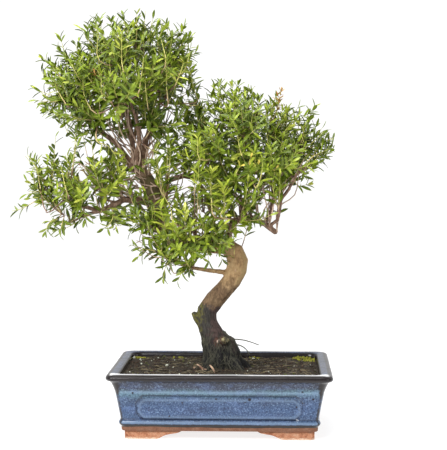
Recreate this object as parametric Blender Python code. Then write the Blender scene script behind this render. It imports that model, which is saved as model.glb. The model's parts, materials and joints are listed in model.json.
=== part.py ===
"""A small-leaved bonsai in a glazed rectangular pot. Metres, +Z up.

The origin is on the ground, under the middle of the whole object's box. The pot stands to the
right of it, because the tree leans to the left.
"""
import math
import random

import bmesh
import bpy
import numpy as np
from mathutils import Matrix, Vector, noise

MM = 0.001
TOUCH_GAP = 0.3 * MM

# Where the pot's middle stands in the object's frame
POT_X = 61.3 * MM
POT_Y = 2.0 * MM

# Pot, in mm
POT_HEIGHT = 80.0
RIM_HALF = (135.0, 100.0)
BASE_HALF = (117.5, 82.5)
FEET_HEIGHT = 15.5
FLOOR_TOP = 25.0
CORNER_RADIUS = 7.0
CORNER_SEGMENTS = 2
CORNER_GROWTH = 0.5
RIM_CORNER_RADIUS = 11.0

# Panel sunk into each wall, in mm. The wall is flat there and leans out by PANEL_SPREAD.
PANEL_LOW = 27.5
PANEL_HIGH = 57.0
PANEL_EDGE = 1.0
PANEL_FOOT = 1.6
PANEL_SPREAD = 5.5
PANEL_SUNK = 1.0
PANEL_NOTCH = 8.0
PANEL_MARGIN = 18.0
PANEL_CUTTER_DEPTH = 6.0

# Wall of the pot from its underside up: (out from the base, z)
WALL_PROFILE = (
    (0.0, FEET_HEIGHT), (0.0, FEET_HEIGHT + 2.5), (2.6, FEET_HEIGHT + 3.0),
    (3.2, FEET_HEIGHT + 5.0), (2.8, FEET_HEIGHT + 7.0), (1.0, FEET_HEIGHT + 9.0),
    (PANEL_FOOT, PANEL_LOW - PANEL_EDGE), (PANEL_FOOT + PANEL_SPREAD, PANEL_HIGH + PANEL_EDGE),
    (10.5, 66.5), (13.2, 71.5),
)
# Rim and inside of the pot: (in from the rim, z)
RIM_PROFILE = (
    (1.0, 73.0), (0.0, 75.5), (0.4, 78.2), (2.4, POT_HEIGHT), (12.5, POT_HEIGHT), (14.6, 78.4),
    (15.2, 74.0), (24.0, 29.0), (28.0, FLOOR_TOP),
)

# Drainage holes, in mm
DRAIN_RADIUS = 8.0
DRAIN_OFFSET = 62.0
DRAIN_SIDES = 14

# Bracket feet, in mm: from the pot's middle, (outer corner, inner corner, end of the sweep)
FOOT_FRONT = (110.0, 75.0, 42.0)
FOOT_SIDE = (76.5, 50.0, 28.0)
FOOT_THICKNESS = 13.0
FOOT_FRONT_INSET = 3.5
FOOT_SIDE_INSET = 4.0
FOOT_SPLAY = 3.5
FOOT_SUNK = 1.0
# Cloud-shaped sweep: (share of the way from the inner corner to the sweep's end, z)
FOOT_SWEEP = ((0.22, 3.2), (0.46, 6.1), (0.82, 8.2), (1.0, 13.0))

# Drainage mesh, in mm
MESH_SIDE = 26.0
MESH_THICKNESS = 1.0
MESH_HOLE = 8.0
MESH_PITCH = 5.5

# Soil, in mm
SOIL_LEVEL = 73.0
SOIL_ROUGHNESS = 1.6
LUMP_FINENESS = (0.055, 0.14)
LUMP_SHARE = 0.6
MOUND_HEIGHT = 8.0
MOUND_REACH = 34.0
SOIL_GRID = (8, 7)
SOIL_HEADROOM = 20.0
BLOCK_BASE = 10.0
SOCKET_ROOM = 0.35

# Trunk, limbs and stubs: middle line x, y, z from the pot's middle and radius there, in mm.
# Surface roots: direction in degrees, then distance from the trunk's middle, z and radius.
TRUNK_LINE = [
    (1, -12, 44, 22), (1, -12, 70, 25), (0, -12, 88, 23.5), (-4, -12, 101, 20),
    (-12, -12, 118, 14.6), (-18.5, -12, 133, 12.6), (-18, -12, 147, 12.4), (-9, -14, 160, 12),
    (2, -16, 173, 11.2), (12, -18, 185, 11.5), (18, -20, 198, 12.4), (19.5, -20, 209, 13),
    (15.5, -18, 219.5, 12.4), (5, -14, 226.5, 11), (-10, -8, 227.5, 10), (-27, 0, 227, 9.6),
    (-45, 6, 227.5, 9.2), (-63, 10, 233, 9.4), (-76, 12, 247, 9.8), (-82, 12, 265, 10.2),
    (-85, 11, 284, 10.8), (-90, 9, 301, 10.8), (-96.5, 7, 312, 8.4), (-102, 6, 321, 6.4),
]
LIMB_LINES = {
    "crown_left": [(-100, 6, 312, 6), (-115, 3, 330, 5.2), (-124, -2, 343, 4.4), (-131, -6, 354, 3.9),
                   (-146, -15, 366, 3.2), (-163, -22, 381, 2.7), (-182, -22, 402, 2.2)],
    "crown_middle": [(-103, 7, 316, 5), (-110, 8, 334, 4.3), (-112.5, 11, 354, 3.5),
                     (-118, 16, 381, 3), (-130, 24, 406, 2.3)],
    "crown_front": [(-101, 4, 316, 5), (-107, -2, 333, 4.3), (-101, -12, 355, 3.5),
                    (-103, -23, 381, 2.9), (-110, -35, 405, 2.2)],
    "crown_right": [(-98, 7, 314, 5.4), (-100, 6, 332, 4.4), (-96, 3, 352, 3.6), (-88, -3, 378, 3),
                    (-76, -8, 404, 2.2)],
    "crown_top": [(-113, 13, 362, 3), (-118, 12, 390, 2.8), (-122, 5, 418, 2.5), (-122, -1, 447, 2)],
    "crown_back": [(-112, 10, 350, 3.2), (-110, 29, 371, 2.9), (-110, 49, 393, 2.2)],
    "left": [(-84, 10, 281, 5.4), (-102, -4, 282, 4.6), (-121, -12, 284, 4.2), (-136, -18, 276, 3.8),
             (-150, -20, 270, 3.5), (-173, -28, 278, 2.9), (-188, -32, 289, 2.1)],
    "left_low": [(-146, -20, 271, 3), (-167, -18, 266, 2.6), (-190, -10, 254, 2)],
    "left_back": [(-112, -9, 283, 3.2), (-134, 8, 290, 2.8), (-158, 28, 296, 2.1)],
    "right_high": [(-82, 11, 278, 5), (-77, 13, 297, 4.4), (-66, 16, 308, 4), (-49, 22, 313, 3.7),
                   (-32, 25, 309, 3.5), (-10, 28, 318, 3.2), (16, 30, 333, 2.7), (42, 30, 347, 2.1)],
    "right_low": [(6, -14, 226, 5), (9, -13, 242, 4.5), (14, -13, 254, 4.3), (24, -18, 262.5, 4.1),
                  (36, -22, 263, 4), (52, -26, 256, 3.9), (68, -28, 244, 3.7)],
    "right_rise": [(58, -27, 252, 2.8), (69, -28, 260, 2.8), (71, -28, 271, 2.8), (73, -28, 285, 2.7),
                   (83, -26, 298, 2.5), (89, -24, 312, 2.3), (104, -20, 324, 2)],
    "right_inner": [(54, -26, 255, 2.6), (61, -26, 270, 2.5), (63, -22, 287, 2.4), (62, -14, 308, 2.2),
                    (60, -6, 330, 1.9)],
    "right_back": [(34, -21, 263, 3), (42, -2, 284, 2.7), (52, 20, 304, 2.3), (60, 40, 322, 1.9)],
    "low_left": [(12, -18, 194, 4), (-17, -26, 198, 2.9), (-34, -28, 201, 2.6), (-58, -28, 210, 2.2),
                 (-68, -26, 217, 1.8)],
    "low_front": [(-14, -6, 227, 4), (-20, -28, 236, 2.8), (-30, -46, 243, 2)],
    "low_back": [(-30, 2, 227, 4), (-34, 24, 236, 2.8), (-40, 46, 243, 2)],
}
STUB_LINES = {
    "pale_stub": [(-5, -16, 108, 8), (6, -33, 113, 5.4)],
    "root_knob": [(-6, -12, 114, 9), (6, -16, 106, 12), (12, -18, 94, 12), (14, -18, 80, 9)],
    "knob": [(-22, -12, 130, 8), (-31, -13, 138, 5), (-35.5, -13, 144.5, 2.6)],
    "scar": [(14, -20, 196, 6), (27, -26, 202, 4.5)],
}
ROOT_ANGLES = (5, 70, 135, 235, 310)
ROOT_STEPS = ((10, 88, 12), (27, 77, 8), (44, 64, 4))
ROOT_BEND = 0.12
TRUNK_STEP = 15.0
LIMB_STEP = 24.0
TWIG_STEP = 33.0
TWIG_END = 4.0
TWIG_BEND = 0.35
TWIG_SHARE = 0.7
THICKEST_TWIG = 2.4
LOWEST_TWIG = 196.0
THICK_LIMB = 3.5
TWIG_ROOM = 2.5
TRUNK_SIDES = 12
BARK_RELIEF = 1.1
ROOT_RELIEF = 2.2
ROOT_CROWN = 84.0
ROOT_CROWN_REACH = 26.0
RIDGE_STRETCH = 0.35
RIDGE_FINENESS = 60.0

# Foliage masses: the point that a mass's sprays face away from, then each spray's middle, in mm
FOLIAGE = {
    "crown": ((-122, 0, 410), [
        (-142, -20, 476), (-104, 20, 487), (-180, 14, 450), (-56, -16, 464), (-116, -62, 462),
        (-142, 62, 458), (-78, 58, 452), (-168, -56, 434), (-78, -60, 428), (-194, -22, 416),
        (-62, 24, 422), (-118, -90, 408), (-196, 38, 408), (-124, 86, 404), (-166, -46, 380),
        (-130, 30, 360), (-72, -40, 368)]),
    "right": ((38, 0, 330), [
        (7, -20, 394), (36, 16, 384), (-32, 30, 374), (27, -60, 377), (68, -16, 374), (-14, -62, 350),
        (80, 52, 360), (111, 0, 350), (22, 66, 350), (78, -58, 331), (-38, -14, 337), (34, -60, 324),
        (80, 32, 320), (0, -44, 299)]),
    "left": ((-160, 0, 280), [
        (-234, -6, 307), (-188, 24, 306), (-134, -34, 308), (-217, -22, 267), (-176, -52, 284),
        (-141, 40, 276)]),
    "low": ((-40, 0, 236), [
        (-74, -46, 304), (-10, 40, 286), (38, -52, 276), (-97, -34, 262), (-45, -62, 232),
        (-84, -36, 219), (-44, 58, 248), (0, -47, 247)]),
}
UPWARD = 0.3

# One spray, in mm
CORE_RADIUS = 20.0
CORE_FLATTEN = 0.78
CORE_ROUGHNESS = 0.28
TWIG_RADIUS = 1.3
STEM_LENGTH = 4.0
SHOOT_RADIUS = 0.8
SHOOT_RISE = 1.0
NODE_LENGTH = 2.6
NODE_ANGLES = (70.0, 40.0)
NODE_SPREAD = 6.0
LEAVES_ON_CORE = 10
TUFT_RANGE = (9.0, 14.0)
TUFT_LOW = 3.0
TUFT_HALF = 3.0
TUFT_PARTS = (0.3, 0.7, 1.0)
TUFT_LEAN = 0.5
LOWEST_FACET = -0.6
LEAN_RANGE = (20.0, 50.0)
PETIOLE_RADIUS = 0.7
BLADE_TRIES = 5
BLADE_LENGTH = 15.0
BLADE_WIDTH = 5.4
BLADE_DEPTH = 1.2
BLADE_ARCH = 0.06
BLADE_WIDEST = 0.44
BLADE_PARTS = (0.2, 0.35, 0.5, 0.65, 0.8, 0.95)
LENGTH_RANGE = (0.88, 1.08)
SWING = (0.5, 0.25)
FOOT_RISE = 0.3
CLEARANCE = 0.5

SEED = 23


def place(x, y, z):
    """Turn millimetres from the pot's middle into a point of the object's frame."""
    return Vector((x * MM + POT_X, y * MM + POT_Y, z * MM))


def clear_scene():
    """Remove what the file opened with."""
    for item in list(bpy.data.objects):
        bpy.data.objects.remove(item, do_unlink=True)


def make_collection(name):
    """Add a collection to the scene."""
    collection = bpy.data.collections.new(name)
    bpy.context.scene.collection.children.link(collection)
    return collection


def make_material(name, colour, roughness):
    """Make a plain non-metal finish."""
    material = bpy.data.materials.new(name)
    material.use_nodes = True
    shader = material.node_tree.nodes["Principled BSDF"]
    shader.inputs["Base Color"].default_value = (*colour, 1.0)
    shader.inputs["Roughness"].default_value = roughness
    shader.inputs["Metallic"].default_value = 0.0
    return material


def make_object(name, shape, collection, material=None):
    """Turn a bmesh into an object and free the bmesh."""
    mesh = bpy.data.meshes.new(name)
    shape.to_mesh(mesh)
    shape.free()
    if material:
        mesh.materials.append(material)
    item = bpy.data.objects.new(name, mesh)
    collection.objects.link(item)
    return item


def combine(target, operation, others, solver="EXACT"):
    """Join or cut a solid with all of a collection, then remove the collection's objects."""
    for item in others.objects:
        item.hide_render = True
        item.display_type = "WIRE"
    modifier = target.modifiers.new("combine", "BOOLEAN")
    modifier.operation = operation
    modifier.operand_type = "COLLECTION"
    modifier.collection = others
    modifier.solver = solver
    graph = bpy.context.evaluated_depsgraph_get()
    solved = bpy.data.meshes.new_from_object(target.evaluated_get(graph))
    target.modifiers.clear()
    materials = list(target.data.materials)
    target.data = solved
    solved.materials.clear()
    for material in materials:
        solved.materials.append(material)
    for item in list(others.objects):
        bpy.data.objects.remove(item, do_unlink=True)


def shade(item, angle=40):
    """Shade a round piece smooth and keep its edges sharp."""
    item.data.shade_smooth()
    item.data.set_sharp_from_angle(angle=math.radians(angle))


def rounded_outline(half_x, half_y, radius, segments=CORNER_SEGMENTS):
    """Points of a rounded rectangle, counterclockwise."""
    points = []
    for quarter in range(4):
        side_x = 1 if quarter in (0, 3) else -1
        side_y = 1 if quarter in (0, 1) else -1
        for step in range(segments + 1):
            angle = math.radians(90) * (quarter + step / segments)
            x = side_x * (half_x - radius) + radius * math.cos(angle)
            y = side_y * (half_y - radius) + radius * math.sin(angle)
            points.append((x, y))
    return points


def stack_rings(rings):
    """Close a solid through rounded rectangles, each (half x, half y, radius, z), in mm."""
    shape = bmesh.new()
    half_x, half_y, radius, z = rings[0]
    first = [shape.verts.new(place(x, y, z)) for x, y in rounded_outline(half_x, half_y, radius)]
    top = shape.faces.new(first)
    for index, (half_x, half_y, radius, z) in enumerate(rings[1:]):
        if index == 0:
            grown = bmesh.ops.extrude_face_region(shape, geom=[top], use_keep_orig=True)
            top = [item for item in grown["geom"] if isinstance(item, bmesh.types.BMFace)][0]
        else:
            top = bmesh.ops.extrude_discrete_faces(shape, faces=[top])["faces"][0]
        outline = rounded_outline(half_x, half_y, radius)
        for vert, (x, y) in zip(top.verts, outline):
            vert.co = place(x, y, z)
    bmesh.ops.recalc_face_normals(shape, faces=shape.faces)
    return shape


def extrude_outline(points, depth):
    """Make a plate from an outline of points, pushed along a vector."""
    shape = bmesh.new()
    face = shape.faces.new([shape.verts.new(point) for point in points])
    pushed = bmesh.ops.extrude_face_region(shape, geom=[face], use_keep_orig=True)
    corners = [item for item in pushed["geom"] if isinstance(item, bmesh.types.BMVert)]
    bmesh.ops.translate(shape, verts=corners, vec=depth)
    bmesh.ops.recalc_face_normals(shape, faces=shape.faces)
    return shape


def pot_rings():
    """Rings of the pot from its underside, up the outside, over the rim and down inside."""
    base_x, base_y = BASE_HALF
    rim_x, rim_y = RIM_HALF
    rings = [(base_x + out, base_y + out, CORNER_RADIUS + out * CORNER_GROWTH, z)
             for out, z in WALL_PROFILE]
    rings += [(rim_x - inward, rim_y - inward, RIM_CORNER_RADIUS, z) for inward, z in RIM_PROFILE]
    return rings


def foot_profile(outer, inner, sweep_end):
    """Side view of a cloud-shaped bracket foot, as (distance from the pot's middle, z)."""
    top = FEET_HEIGHT + FOOT_SUNK
    points = [(outer + FOOT_SPLAY, top), (outer, 0.0), (inner, 0.0)]
    points += [(inner + (sweep_end - inner) * share, rise) for share, rise in FOOT_SWEEP]
    points.append((sweep_end, top))
    return points


def add_feet(group):
    """Add the two plates of each corner bracket foot."""
    face_x = BASE_HALF[0] - FOOT_SIDE_INSET
    face_y = BASE_HALF[1] - FOOT_FRONT_INSET
    for sign_x in (1, -1):
        for sign_y in (1, -1):
            outline = [place(sign_x * x, sign_y * face_y, z) for x, z in foot_profile(*FOOT_FRONT)]
            depth = Vector((0, -sign_y * FOOT_THICKNESS * MM, 0))
            make_object("foot_front", extrude_outline(outline, depth), group)
            outline = [place(sign_x * face_x, sign_y * y, z) for y, z in foot_profile(*FOOT_SIDE)]
            depth = Vector((-sign_x * FOOT_THICKNESS * MM, 0, 0))
            make_object("foot_side", extrude_outline(outline, depth), group)


def notched_outline(half_length, low, high):
    """Points of a panel with cut corners, as (along, z) in mm."""
    notch = PANEL_NOTCH
    corners = [(half_length, low + notch), (half_length, high - notch), (half_length - notch, high)]
    corners += [(notch - half_length, high), (-half_length, high - notch)]
    corners += [(-half_length, low + notch), (notch - half_length, low), (half_length - notch, low)]
    return corners


def panel_cutter(half_length, wall_low, turn):
    """A block whose inner face lies just under a wall's panel face."""
    slope = PANEL_SPREAD / (PANEL_HIGH - PANEL_LOW + 2 * PANEL_EDGE)
    points = []
    for along, z in notched_outline(half_length, PANEL_LOW, PANEL_HIGH):
        wall = wall_low + slope * (z - PANEL_LOW + PANEL_EDGE)
        points.append(Vector((along * MM, -(wall - PANEL_SUNK) * MM, z * MM)))
    shape = extrude_outline(points, Vector((0, -PANEL_CUTTER_DEPTH * MM, 0)))
    matrix = Matrix.Translation((POT_X, POT_Y, 0)) @ Matrix.Rotation(turn, 4, "Z")
    bmesh.ops.transform(shape, matrix=matrix, verts=shape.verts)
    return shape


def build_pot(parts, glaze):
    """The fired pot: walls, rim, feet, sunk panels and drainage holes in one piece."""
    pot = make_object("pot", stack_rings(pot_rings()), parts, glaze)
    feet = make_collection("pot_feet")
    add_feet(feet)
    combine(pot, "UNION", feet)
    cutters = make_collection("pot_cutters")
    wall_x = BASE_HALF[0] + PANEL_FOOT
    wall_y = BASE_HALF[1] + PANEL_FOOT
    for turn in (0, math.pi):
        make_object("long_panel", panel_cutter(wall_x - PANEL_MARGIN, wall_y, turn), cutters)
        shape = panel_cutter(wall_y - PANEL_MARGIN, wall_x, turn + math.pi / 2)
        make_object("short_panel", shape, cutters)
    for side in (-1, 1):
        shape = bmesh.new()
        bmesh.ops.create_cone(shape, cap_ends=True, segments=DRAIN_SIDES, radius1=DRAIN_RADIUS * MM,
                              radius2=DRAIN_RADIUS * MM, depth=2 * FLOOR_TOP * MM)
        bmesh.ops.translate(shape, verts=shape.verts, vec=place(side * DRAIN_OFFSET, 0, FLOOR_TOP))
        make_object("drain", shape, cutters)
    combine(pot, "DIFFERENCE", cutters)
    shade(pot)
    return pot


def box(centre, size):
    """A box from its middle and its size, in mm."""
    shape = bmesh.new()
    bmesh.ops.create_cube(shape, size=1.0)
    bmesh.ops.scale(shape, vec=Vector(size) * MM, verts=shape.verts)
    bmesh.ops.translate(shape, vec=place(*centre), verts=shape.verts)
    return shape


def build_drain_mesh(parts, name, side, plastic):
    """A square of drainage mesh that lies over one hole."""
    middle = FLOOR_TOP + TOUCH_GAP / MM + MESH_THICKNESS / 2
    size = (MESH_SIDE, MESH_SIDE, MESH_THICKNESS)
    plate = make_object(name, box((side * DRAIN_OFFSET, 0, middle), size), parts, plastic)
    holes = make_collection(name + "_holes")
    for column in (-1, 1):
        for row in (-1, 1):
            centre = (side * DRAIN_OFFSET + column * MESH_PITCH, row * MESH_PITCH, middle)
            make_object("hole", box(centre, (MESH_HOLE, MESH_HOLE, 4 * MESH_THICKNESS)), holes)
    combine(plate, "DIFFERENCE", holes)
    return plate


def soil_height(x, y):
    """Height of the soil's surface at a place, in mm."""
    trunk_x, trunk_y = TRUNK_LINE[1][:2]
    away = math.hypot(x - trunk_x, y - trunk_y)
    mound = MOUND_HEIGHT * math.exp(-(away / MOUND_REACH) ** 2)
    coarse, fine = LUMP_FINENESS
    lumps = noise.noise(Vector((x, y, 0)) * coarse)
    lumps += LUMP_SHARE * noise.noise(Vector((x, y, POT_HEIGHT)) * fine)
    return SOIL_LEVEL + mound + SOIL_ROUGHNESS * lumps


def soil_block():
    """A block with the soil's lumpy top and a flat underside, larger than the pot."""
    block = bmesh.new()
    bmesh.ops.create_grid(block, x_segments=SOIL_GRID[0], y_segments=SOIL_GRID[1], size=0.5)
    half_x, half_y = RIM_HALF
    for vert in block.verts:
        x = vert.co.x * 2 * half_x
        y = vert.co.y * 2 * half_y
        vert.co = place(x, y, soil_height(x, y))
    base = bmesh.ops.extrude_face_region(block, geom=block.faces[:], use_keep_orig=True)
    lowered = [item for item in base["geom"] if isinstance(item, bmesh.types.BMVert)]
    for vert in lowered:
        vert.co.z = BLOCK_BASE * MM
    bmesh.ops.dissolve_limit(block, angle_limit=0.01, verts=lowered, edges=block.edges[:])
    bmesh.ops.recalc_face_normals(block, faces=block.faces)
    return block


def trunk_socket():
    """A collection with the room that the trunk's base and roots take in the soil, as one solid."""
    sockets = make_collection("soil_sockets")
    socket = trunk_base(sockets, SOCKET_ROOM)
    others = make_collection("soil_socket_pieces")
    for item in list(sockets.objects):
        if item is not socket:
            sockets.objects.unlink(item)
            others.objects.link(item)
    combine(socket, "UNION", others)
    return sockets


def build_soil(parts, earth):
    """The soil: fills the pot, with a lumpy top, a mound, and a plain socket for the trunk."""
    gap = TOUCH_GAP / MM
    inside = [(x - gap, y - gap, radius, z + (gap if z == FLOOR_TOP else 0))
              for x, y, radius, z in pot_rings()[-3:]]
    top_x, top_y, radius, top_z = inside[0]
    inside.insert(0, (top_x + 1.0, top_y + 1.0, radius, top_z + SOIL_HEADROOM))
    soil = make_object("soil", stack_rings(inside[::-1]), parts, earth)
    bounds = make_collection("soil_bounds")
    make_object("soil_block", soil_block(), bounds)
    combine(soil, "INTERSECT", bounds)
    cutters = make_collection("soil_cutters")
    pocket = (MESH_SIDE + 2 * gap, MESH_SIDE + 2 * gap, 2 * (MESH_THICKNESS + 2 * gap))
    for side in (-1, 1):
        make_object("pocket", box((side * DRAIN_OFFSET, 0, FLOOR_TOP), pocket), cutters)
    combine(soil, "DIFFERENCE", cutters)
    combine(soil, "DIFFERENCE", trunk_socket())
    return soil


def smooth_line(points, step):
    """Read a smooth curve through points of (x, y, z, radius) about every step mm."""
    ends = [2 * np.array(points[0]) - np.array(points[1])]
    tail = [2 * np.array(points[-1]) - np.array(points[-2])]
    knots = ends + [np.array(point, dtype=float) for point in points] + tail
    line = []
    for index in range(1, len(knots) - 2):
        before, start, end, after = knots[index - 1:index + 3]
        span = np.linalg.norm(end[:3] - start[:3])
        pieces = max(1, round(span / step))
        for piece in range(pieces):
            t = piece / pieces
            line.append(0.5 * (2 * start + (end - before) * t
                               + (2 * before - 5 * start + 4 * end - after) * t ** 2
                               + (3 * start - before - 3 * end + after) * t ** 3))
    line.append(knots[-2])
    return line


def tube(name, line, collection, sides=8, grow=0.0):
    """A closed tube along a line of (x, y, z, radius) in mm, with an even number of sides."""
    curve = bpy.data.curves.new(name, "CURVE")
    curve.dimensions = "3D"
    curve.bevel_depth = MM
    curve.bevel_resolution = (sides - 4) // 2
    curve.use_fill_caps = True
    spline = curve.splines.new("POLY")
    spline.points.add(len(line) - 1)
    for point, (x, y, z, radius) in zip(spline.points, line):
        point.co = (*place(x, y, z), 1.0)
        point.radius = radius + grow
    guide = bpy.data.objects.new(name + "_line", curve)
    collection.objects.link(guide)
    graph = bpy.context.evaluated_depsgraph_get()
    mesh = bpy.data.meshes.new_from_object(guide.evaluated_get(graph))
    shape = bmesh.new()
    shape.from_mesh(mesh)
    bmesh.ops.remove_doubles(shape, verts=shape.verts, dist=0.00001)
    bmesh.ops.recalc_face_normals(shape, faces=shape.faces)
    shape.transform(guide.matrix_world)
    bpy.data.meshes.remove(mesh)
    bpy.data.objects.remove(guide, do_unlink=True)
    return make_object(name, shape, collection)


def root_line(angle, longer=0.0):
    """Middle line of a surface root that runs out and down into the soil."""
    x, y = TRUNK_LINE[2][:2]
    turn = math.radians(angle)
    line = []
    for out, z, radius in ROOT_STEPS:
        bend = ROOT_BEND * math.sin(angle) * out
        line.append((x + out * math.cos(turn) - bend * math.sin(turn),
                     y + out * math.sin(turn) + bend * math.cos(turn), z, radius))
    if longer:
        before = Vector(line[-2][:3])
        tip = Vector(line[-1][:3])
        line.append((*(tip + (tip - before).normalized() * longer), line[-1][3]))
    return line


def roughen(trunk):
    """Raise the trunk's ridges, with its quads split alike in the trunk and in its socket."""
    shape = bmesh.new()
    shape.from_mesh(trunk.data)
    quads = [face for face in shape.faces if len(face.verts) == 4]
    bmesh.ops.triangulate(shape, faces=quads, quad_method="FIXED")
    shape.normal_update()
    for vert in shape.verts:
        ridges = noise.noise(Vector((vert.co.x, vert.co.y, vert.co.z * RIDGE_STRETCH)) * RIDGE_FINENESS)
        near_root = max(0.0, 1.0 - abs(vert.co.z / MM - ROOT_CROWN) / ROOT_CROWN_REACH)
        vert.co += vert.normal * ridges * BARK_RELIEF * (1 + ROOT_RELIEF * near_root) * MM
    shape.to_mesh(trunk.data)
    shape.free()


def trunk_base(collection, grow=0.0):
    """The trunk and its roots, or with grow the room that they take in the soil."""
    line = smooth_line(TRUNK_LINE, TRUNK_STEP)
    if grow:
        x, y, z, radius = TRUNK_LINE[0]
        line = [np.array((x, y, z - grow, radius))] + line[1:7]
    trunk = tube("trunk", line, collection, sides=TRUNK_SIDES, grow=grow)
    roughen(trunk)
    for angle in ROOT_ANGLES:
        tube("root", root_line(angle, 3 * grow), collection, sides=6, grow=grow)
    return trunk


class Space:
    """The room that is taken, as balls along every stem, blade and core."""

    def __init__(self):
        """Start empty."""
        self.centres = []
        self.radii = []
        self.owners = []

    def add(self, centre, radius, owner):
        """Take the room of one ball."""
        self.centres.append(tuple(centre))
        self.radii.append(radius)
        self.owners.append(owner)

    def add_all(self, balls, owner):
        """Take the room of balls of (centre, radius)."""
        for centre, radius in balls:
            self.add(centre, radius, owner)

    def is_free(self, balls, owner):
        """Tell whether balls of (centre, radius) stay clear of all but their owner's."""
        centres = np.array(self.centres)
        radii = np.array(self.radii)
        others = np.array([kept != owner for kept in self.owners])
        for centre, radius in balls:
            apart = np.linalg.norm(centres - np.array(centre), axis=1)
            if np.any((apart < radii + radius + CLEARANCE) & others):
                return False
        return True


def limb_balls(step):
    """The trunk's and limbs' middle lines as (x, y, z, radius) in mm."""
    balls = list(smooth_line(TRUNK_LINE, step))
    for points in LIMB_LINES.values():
        balls += smooth_line(points, step)
    return balls


def spray_places():
    """Each spray's name, middle and outward direction, moved out of the way of the limbs."""
    places = []
    wood = [(Vector(ball[:3]), ball[3]) for ball in limb_balls(4)]
    for mass, (middle, spots) in FOLIAGE.items():
        for number, point in enumerate(spots, 1):
            spot = Vector(point)
            out = (spot - Vector(middle)).normalized()
            while any((spot - ball).length < CORE_RADIUS + radius + TWIG_ROOM for ball, radius in wood):
                spot += out * 2.0
            axis = (out + Vector((0, 0, UPWARD))).normalized()
            places.append((f"spray_{mass}_{number:02d}", spot, axis))
    return places


def bent_twig(start, radius, foot, axis):
    """A twig's line from a point of the wood to a spray's foot, ending along the spray's axis."""
    knee = foot - axis * TWIG_END
    bend = knee - axis * TWIG_BEND * (knee - start).length
    thick = min(max(radius * TWIG_SHARE, TWIG_RADIUS), THICKEST_TWIG)
    steps = max(2, round((knee - start).length / TWIG_STEP))
    line = []
    for step in range(steps + 1):
        t = step / steps
        point = start * (1 - t) ** 2 + bend * 2 * t * (1 - t) + knee * t ** 2
        line.append((*point, thick + (TWIG_RADIUS - thick) * t))
    return line + [(*foot, TWIG_RADIUS)]


def find_twig(spot, axis, wood_line, cores):
    """The shortest twig to a spray that misses every core, with the axis that it needs."""
    ranked = sorted(wood_line, key=lambda item: (Vector(item[:3]) - spot).length + item[3] * 2)
    away = (spot - Vector(ranked[0][:3])).normalized()
    for lean in (0.0, 0.5, 1.0):
        turned = axis.lerp(away, lean).normalized()
        foot = spot - turned * (CORE_RADIUS + STEM_LENGTH)
        for x, y, z, radius in ranked:
            line = bent_twig(Vector((x, y, z)), radius, foot, turned)
            spread = [Vector(a[:3]).lerp(Vector(b[:3]), t) for a, b in zip(line, line[1:])
                      for t in (0.0, 0.25, 0.5, 0.75)] + [foot]
            if all((point - core).length > CORE_RADIUS + TWIG_ROOM for point in spread for core in cores):
                return turned, line
    return None


def build_wood(parts, bark, sprays, space):
    """The trunk with its roots, limbs, stubs and a twig to each spray, as one grown piece."""
    trunk = trunk_base(parts)
    trunk.data.materials.append(bark)
    pieces = make_collection("wood_pieces")
    for item in list(parts.objects):
        if item.name.startswith("root"):
            parts.objects.unlink(item)
            pieces.objects.link(item)
    wood_line = [ball for ball in limb_balls(5) if ball[2] > LOWEST_TWIG]
    taken = limb_balls(2)
    for name, points in STUB_LINES.items():
        tube(name, points, pieces, sides=8)
    cores = [spot for _, spot, _ in sprays]
    tips = {points[-1][:3]: name for name, points in LIMB_LINES.items()}
    longer = {}
    grown = []
    for name, spot, axis in sprays:
        found = find_twig(spot, axis, wood_line, cores)
        if not found:
            continue
        turned, line = found
        grown.append((name, spot, turned))
        taken += smooth_line(line, 2)
        limb = tips.get(tuple(round(value, 6) for value in line[0][:3]))
        if limb and limb not in longer:
            longer[limb] = line[1:]
        else:
            tube(name + "_twig", line, pieces, sides=4)
    for name, points in LIMB_LINES.items():
        line = smooth_line(points, LIMB_STEP) + longer.get(name, [])
        tube(name, line, pieces, sides=6 if points[0][3] > THICK_LIMB else 4)
    space.add_all([(ball[:3], ball[3]) for ball in taken], "wood")
    combine(trunk, "UNION", pieces)
    shade(trunk, 50)
    return grown


def rough_core(generator):
    """A small rough faceted ball, flattened along its own Z."""
    shape = bmesh.new()
    bmesh.ops.create_icosphere(shape, subdivisions=1, radius=CORE_RADIUS * MM)
    for vert in shape.verts:
        vert.co *= 1 - generator.uniform(0, CORE_ROUGHNESS)
        vert.co.z *= CORE_FLATTEN
    shape.normal_update()
    return shape


def blade_balls(root, along, length):
    """Balls that hold a blade, as (centre, radius) in mm."""
    balls = []
    for part in BLADE_PARTS:
        half = 0.5 * BLADE_WIDTH * math.sin(math.pi * part) ** 0.5
        balls.append((root + along * length * part, half))
    return balls


def raise_blade(shape, foot, root, along, upper, length):
    """Raise one leaf out of a small face: its widest section with a keel below, then its tip."""
    across = along.cross(upper)
    section = bmesh.ops.extrude_discrete_faces(shape, faces=[foot])["faces"][0]
    keel = min(section.verts, key=lambda vert: vert.co.dot(upper))
    sides = sorted((vert for vert in section.verts if vert is not keel),
                   key=lambda vert: vert.co.dot(across))
    centre = root + (along * BLADE_WIDEST + upper * BLADE_ARCH) * length
    reach = across * BLADE_WIDTH * 0.5 * MM
    keel.co = centre - upper * BLADE_DEPTH * 0.7 * MM
    sides[0].co = centre - reach + upper * BLADE_DEPTH * 0.3 * MM
    sides[1].co = centre + reach + upper * BLADE_DEPTH * 0.3 * MM
    tip = bmesh.ops.poke(shape, faces=[section])["verts"][0]
    tip.co = root + along * length


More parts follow.
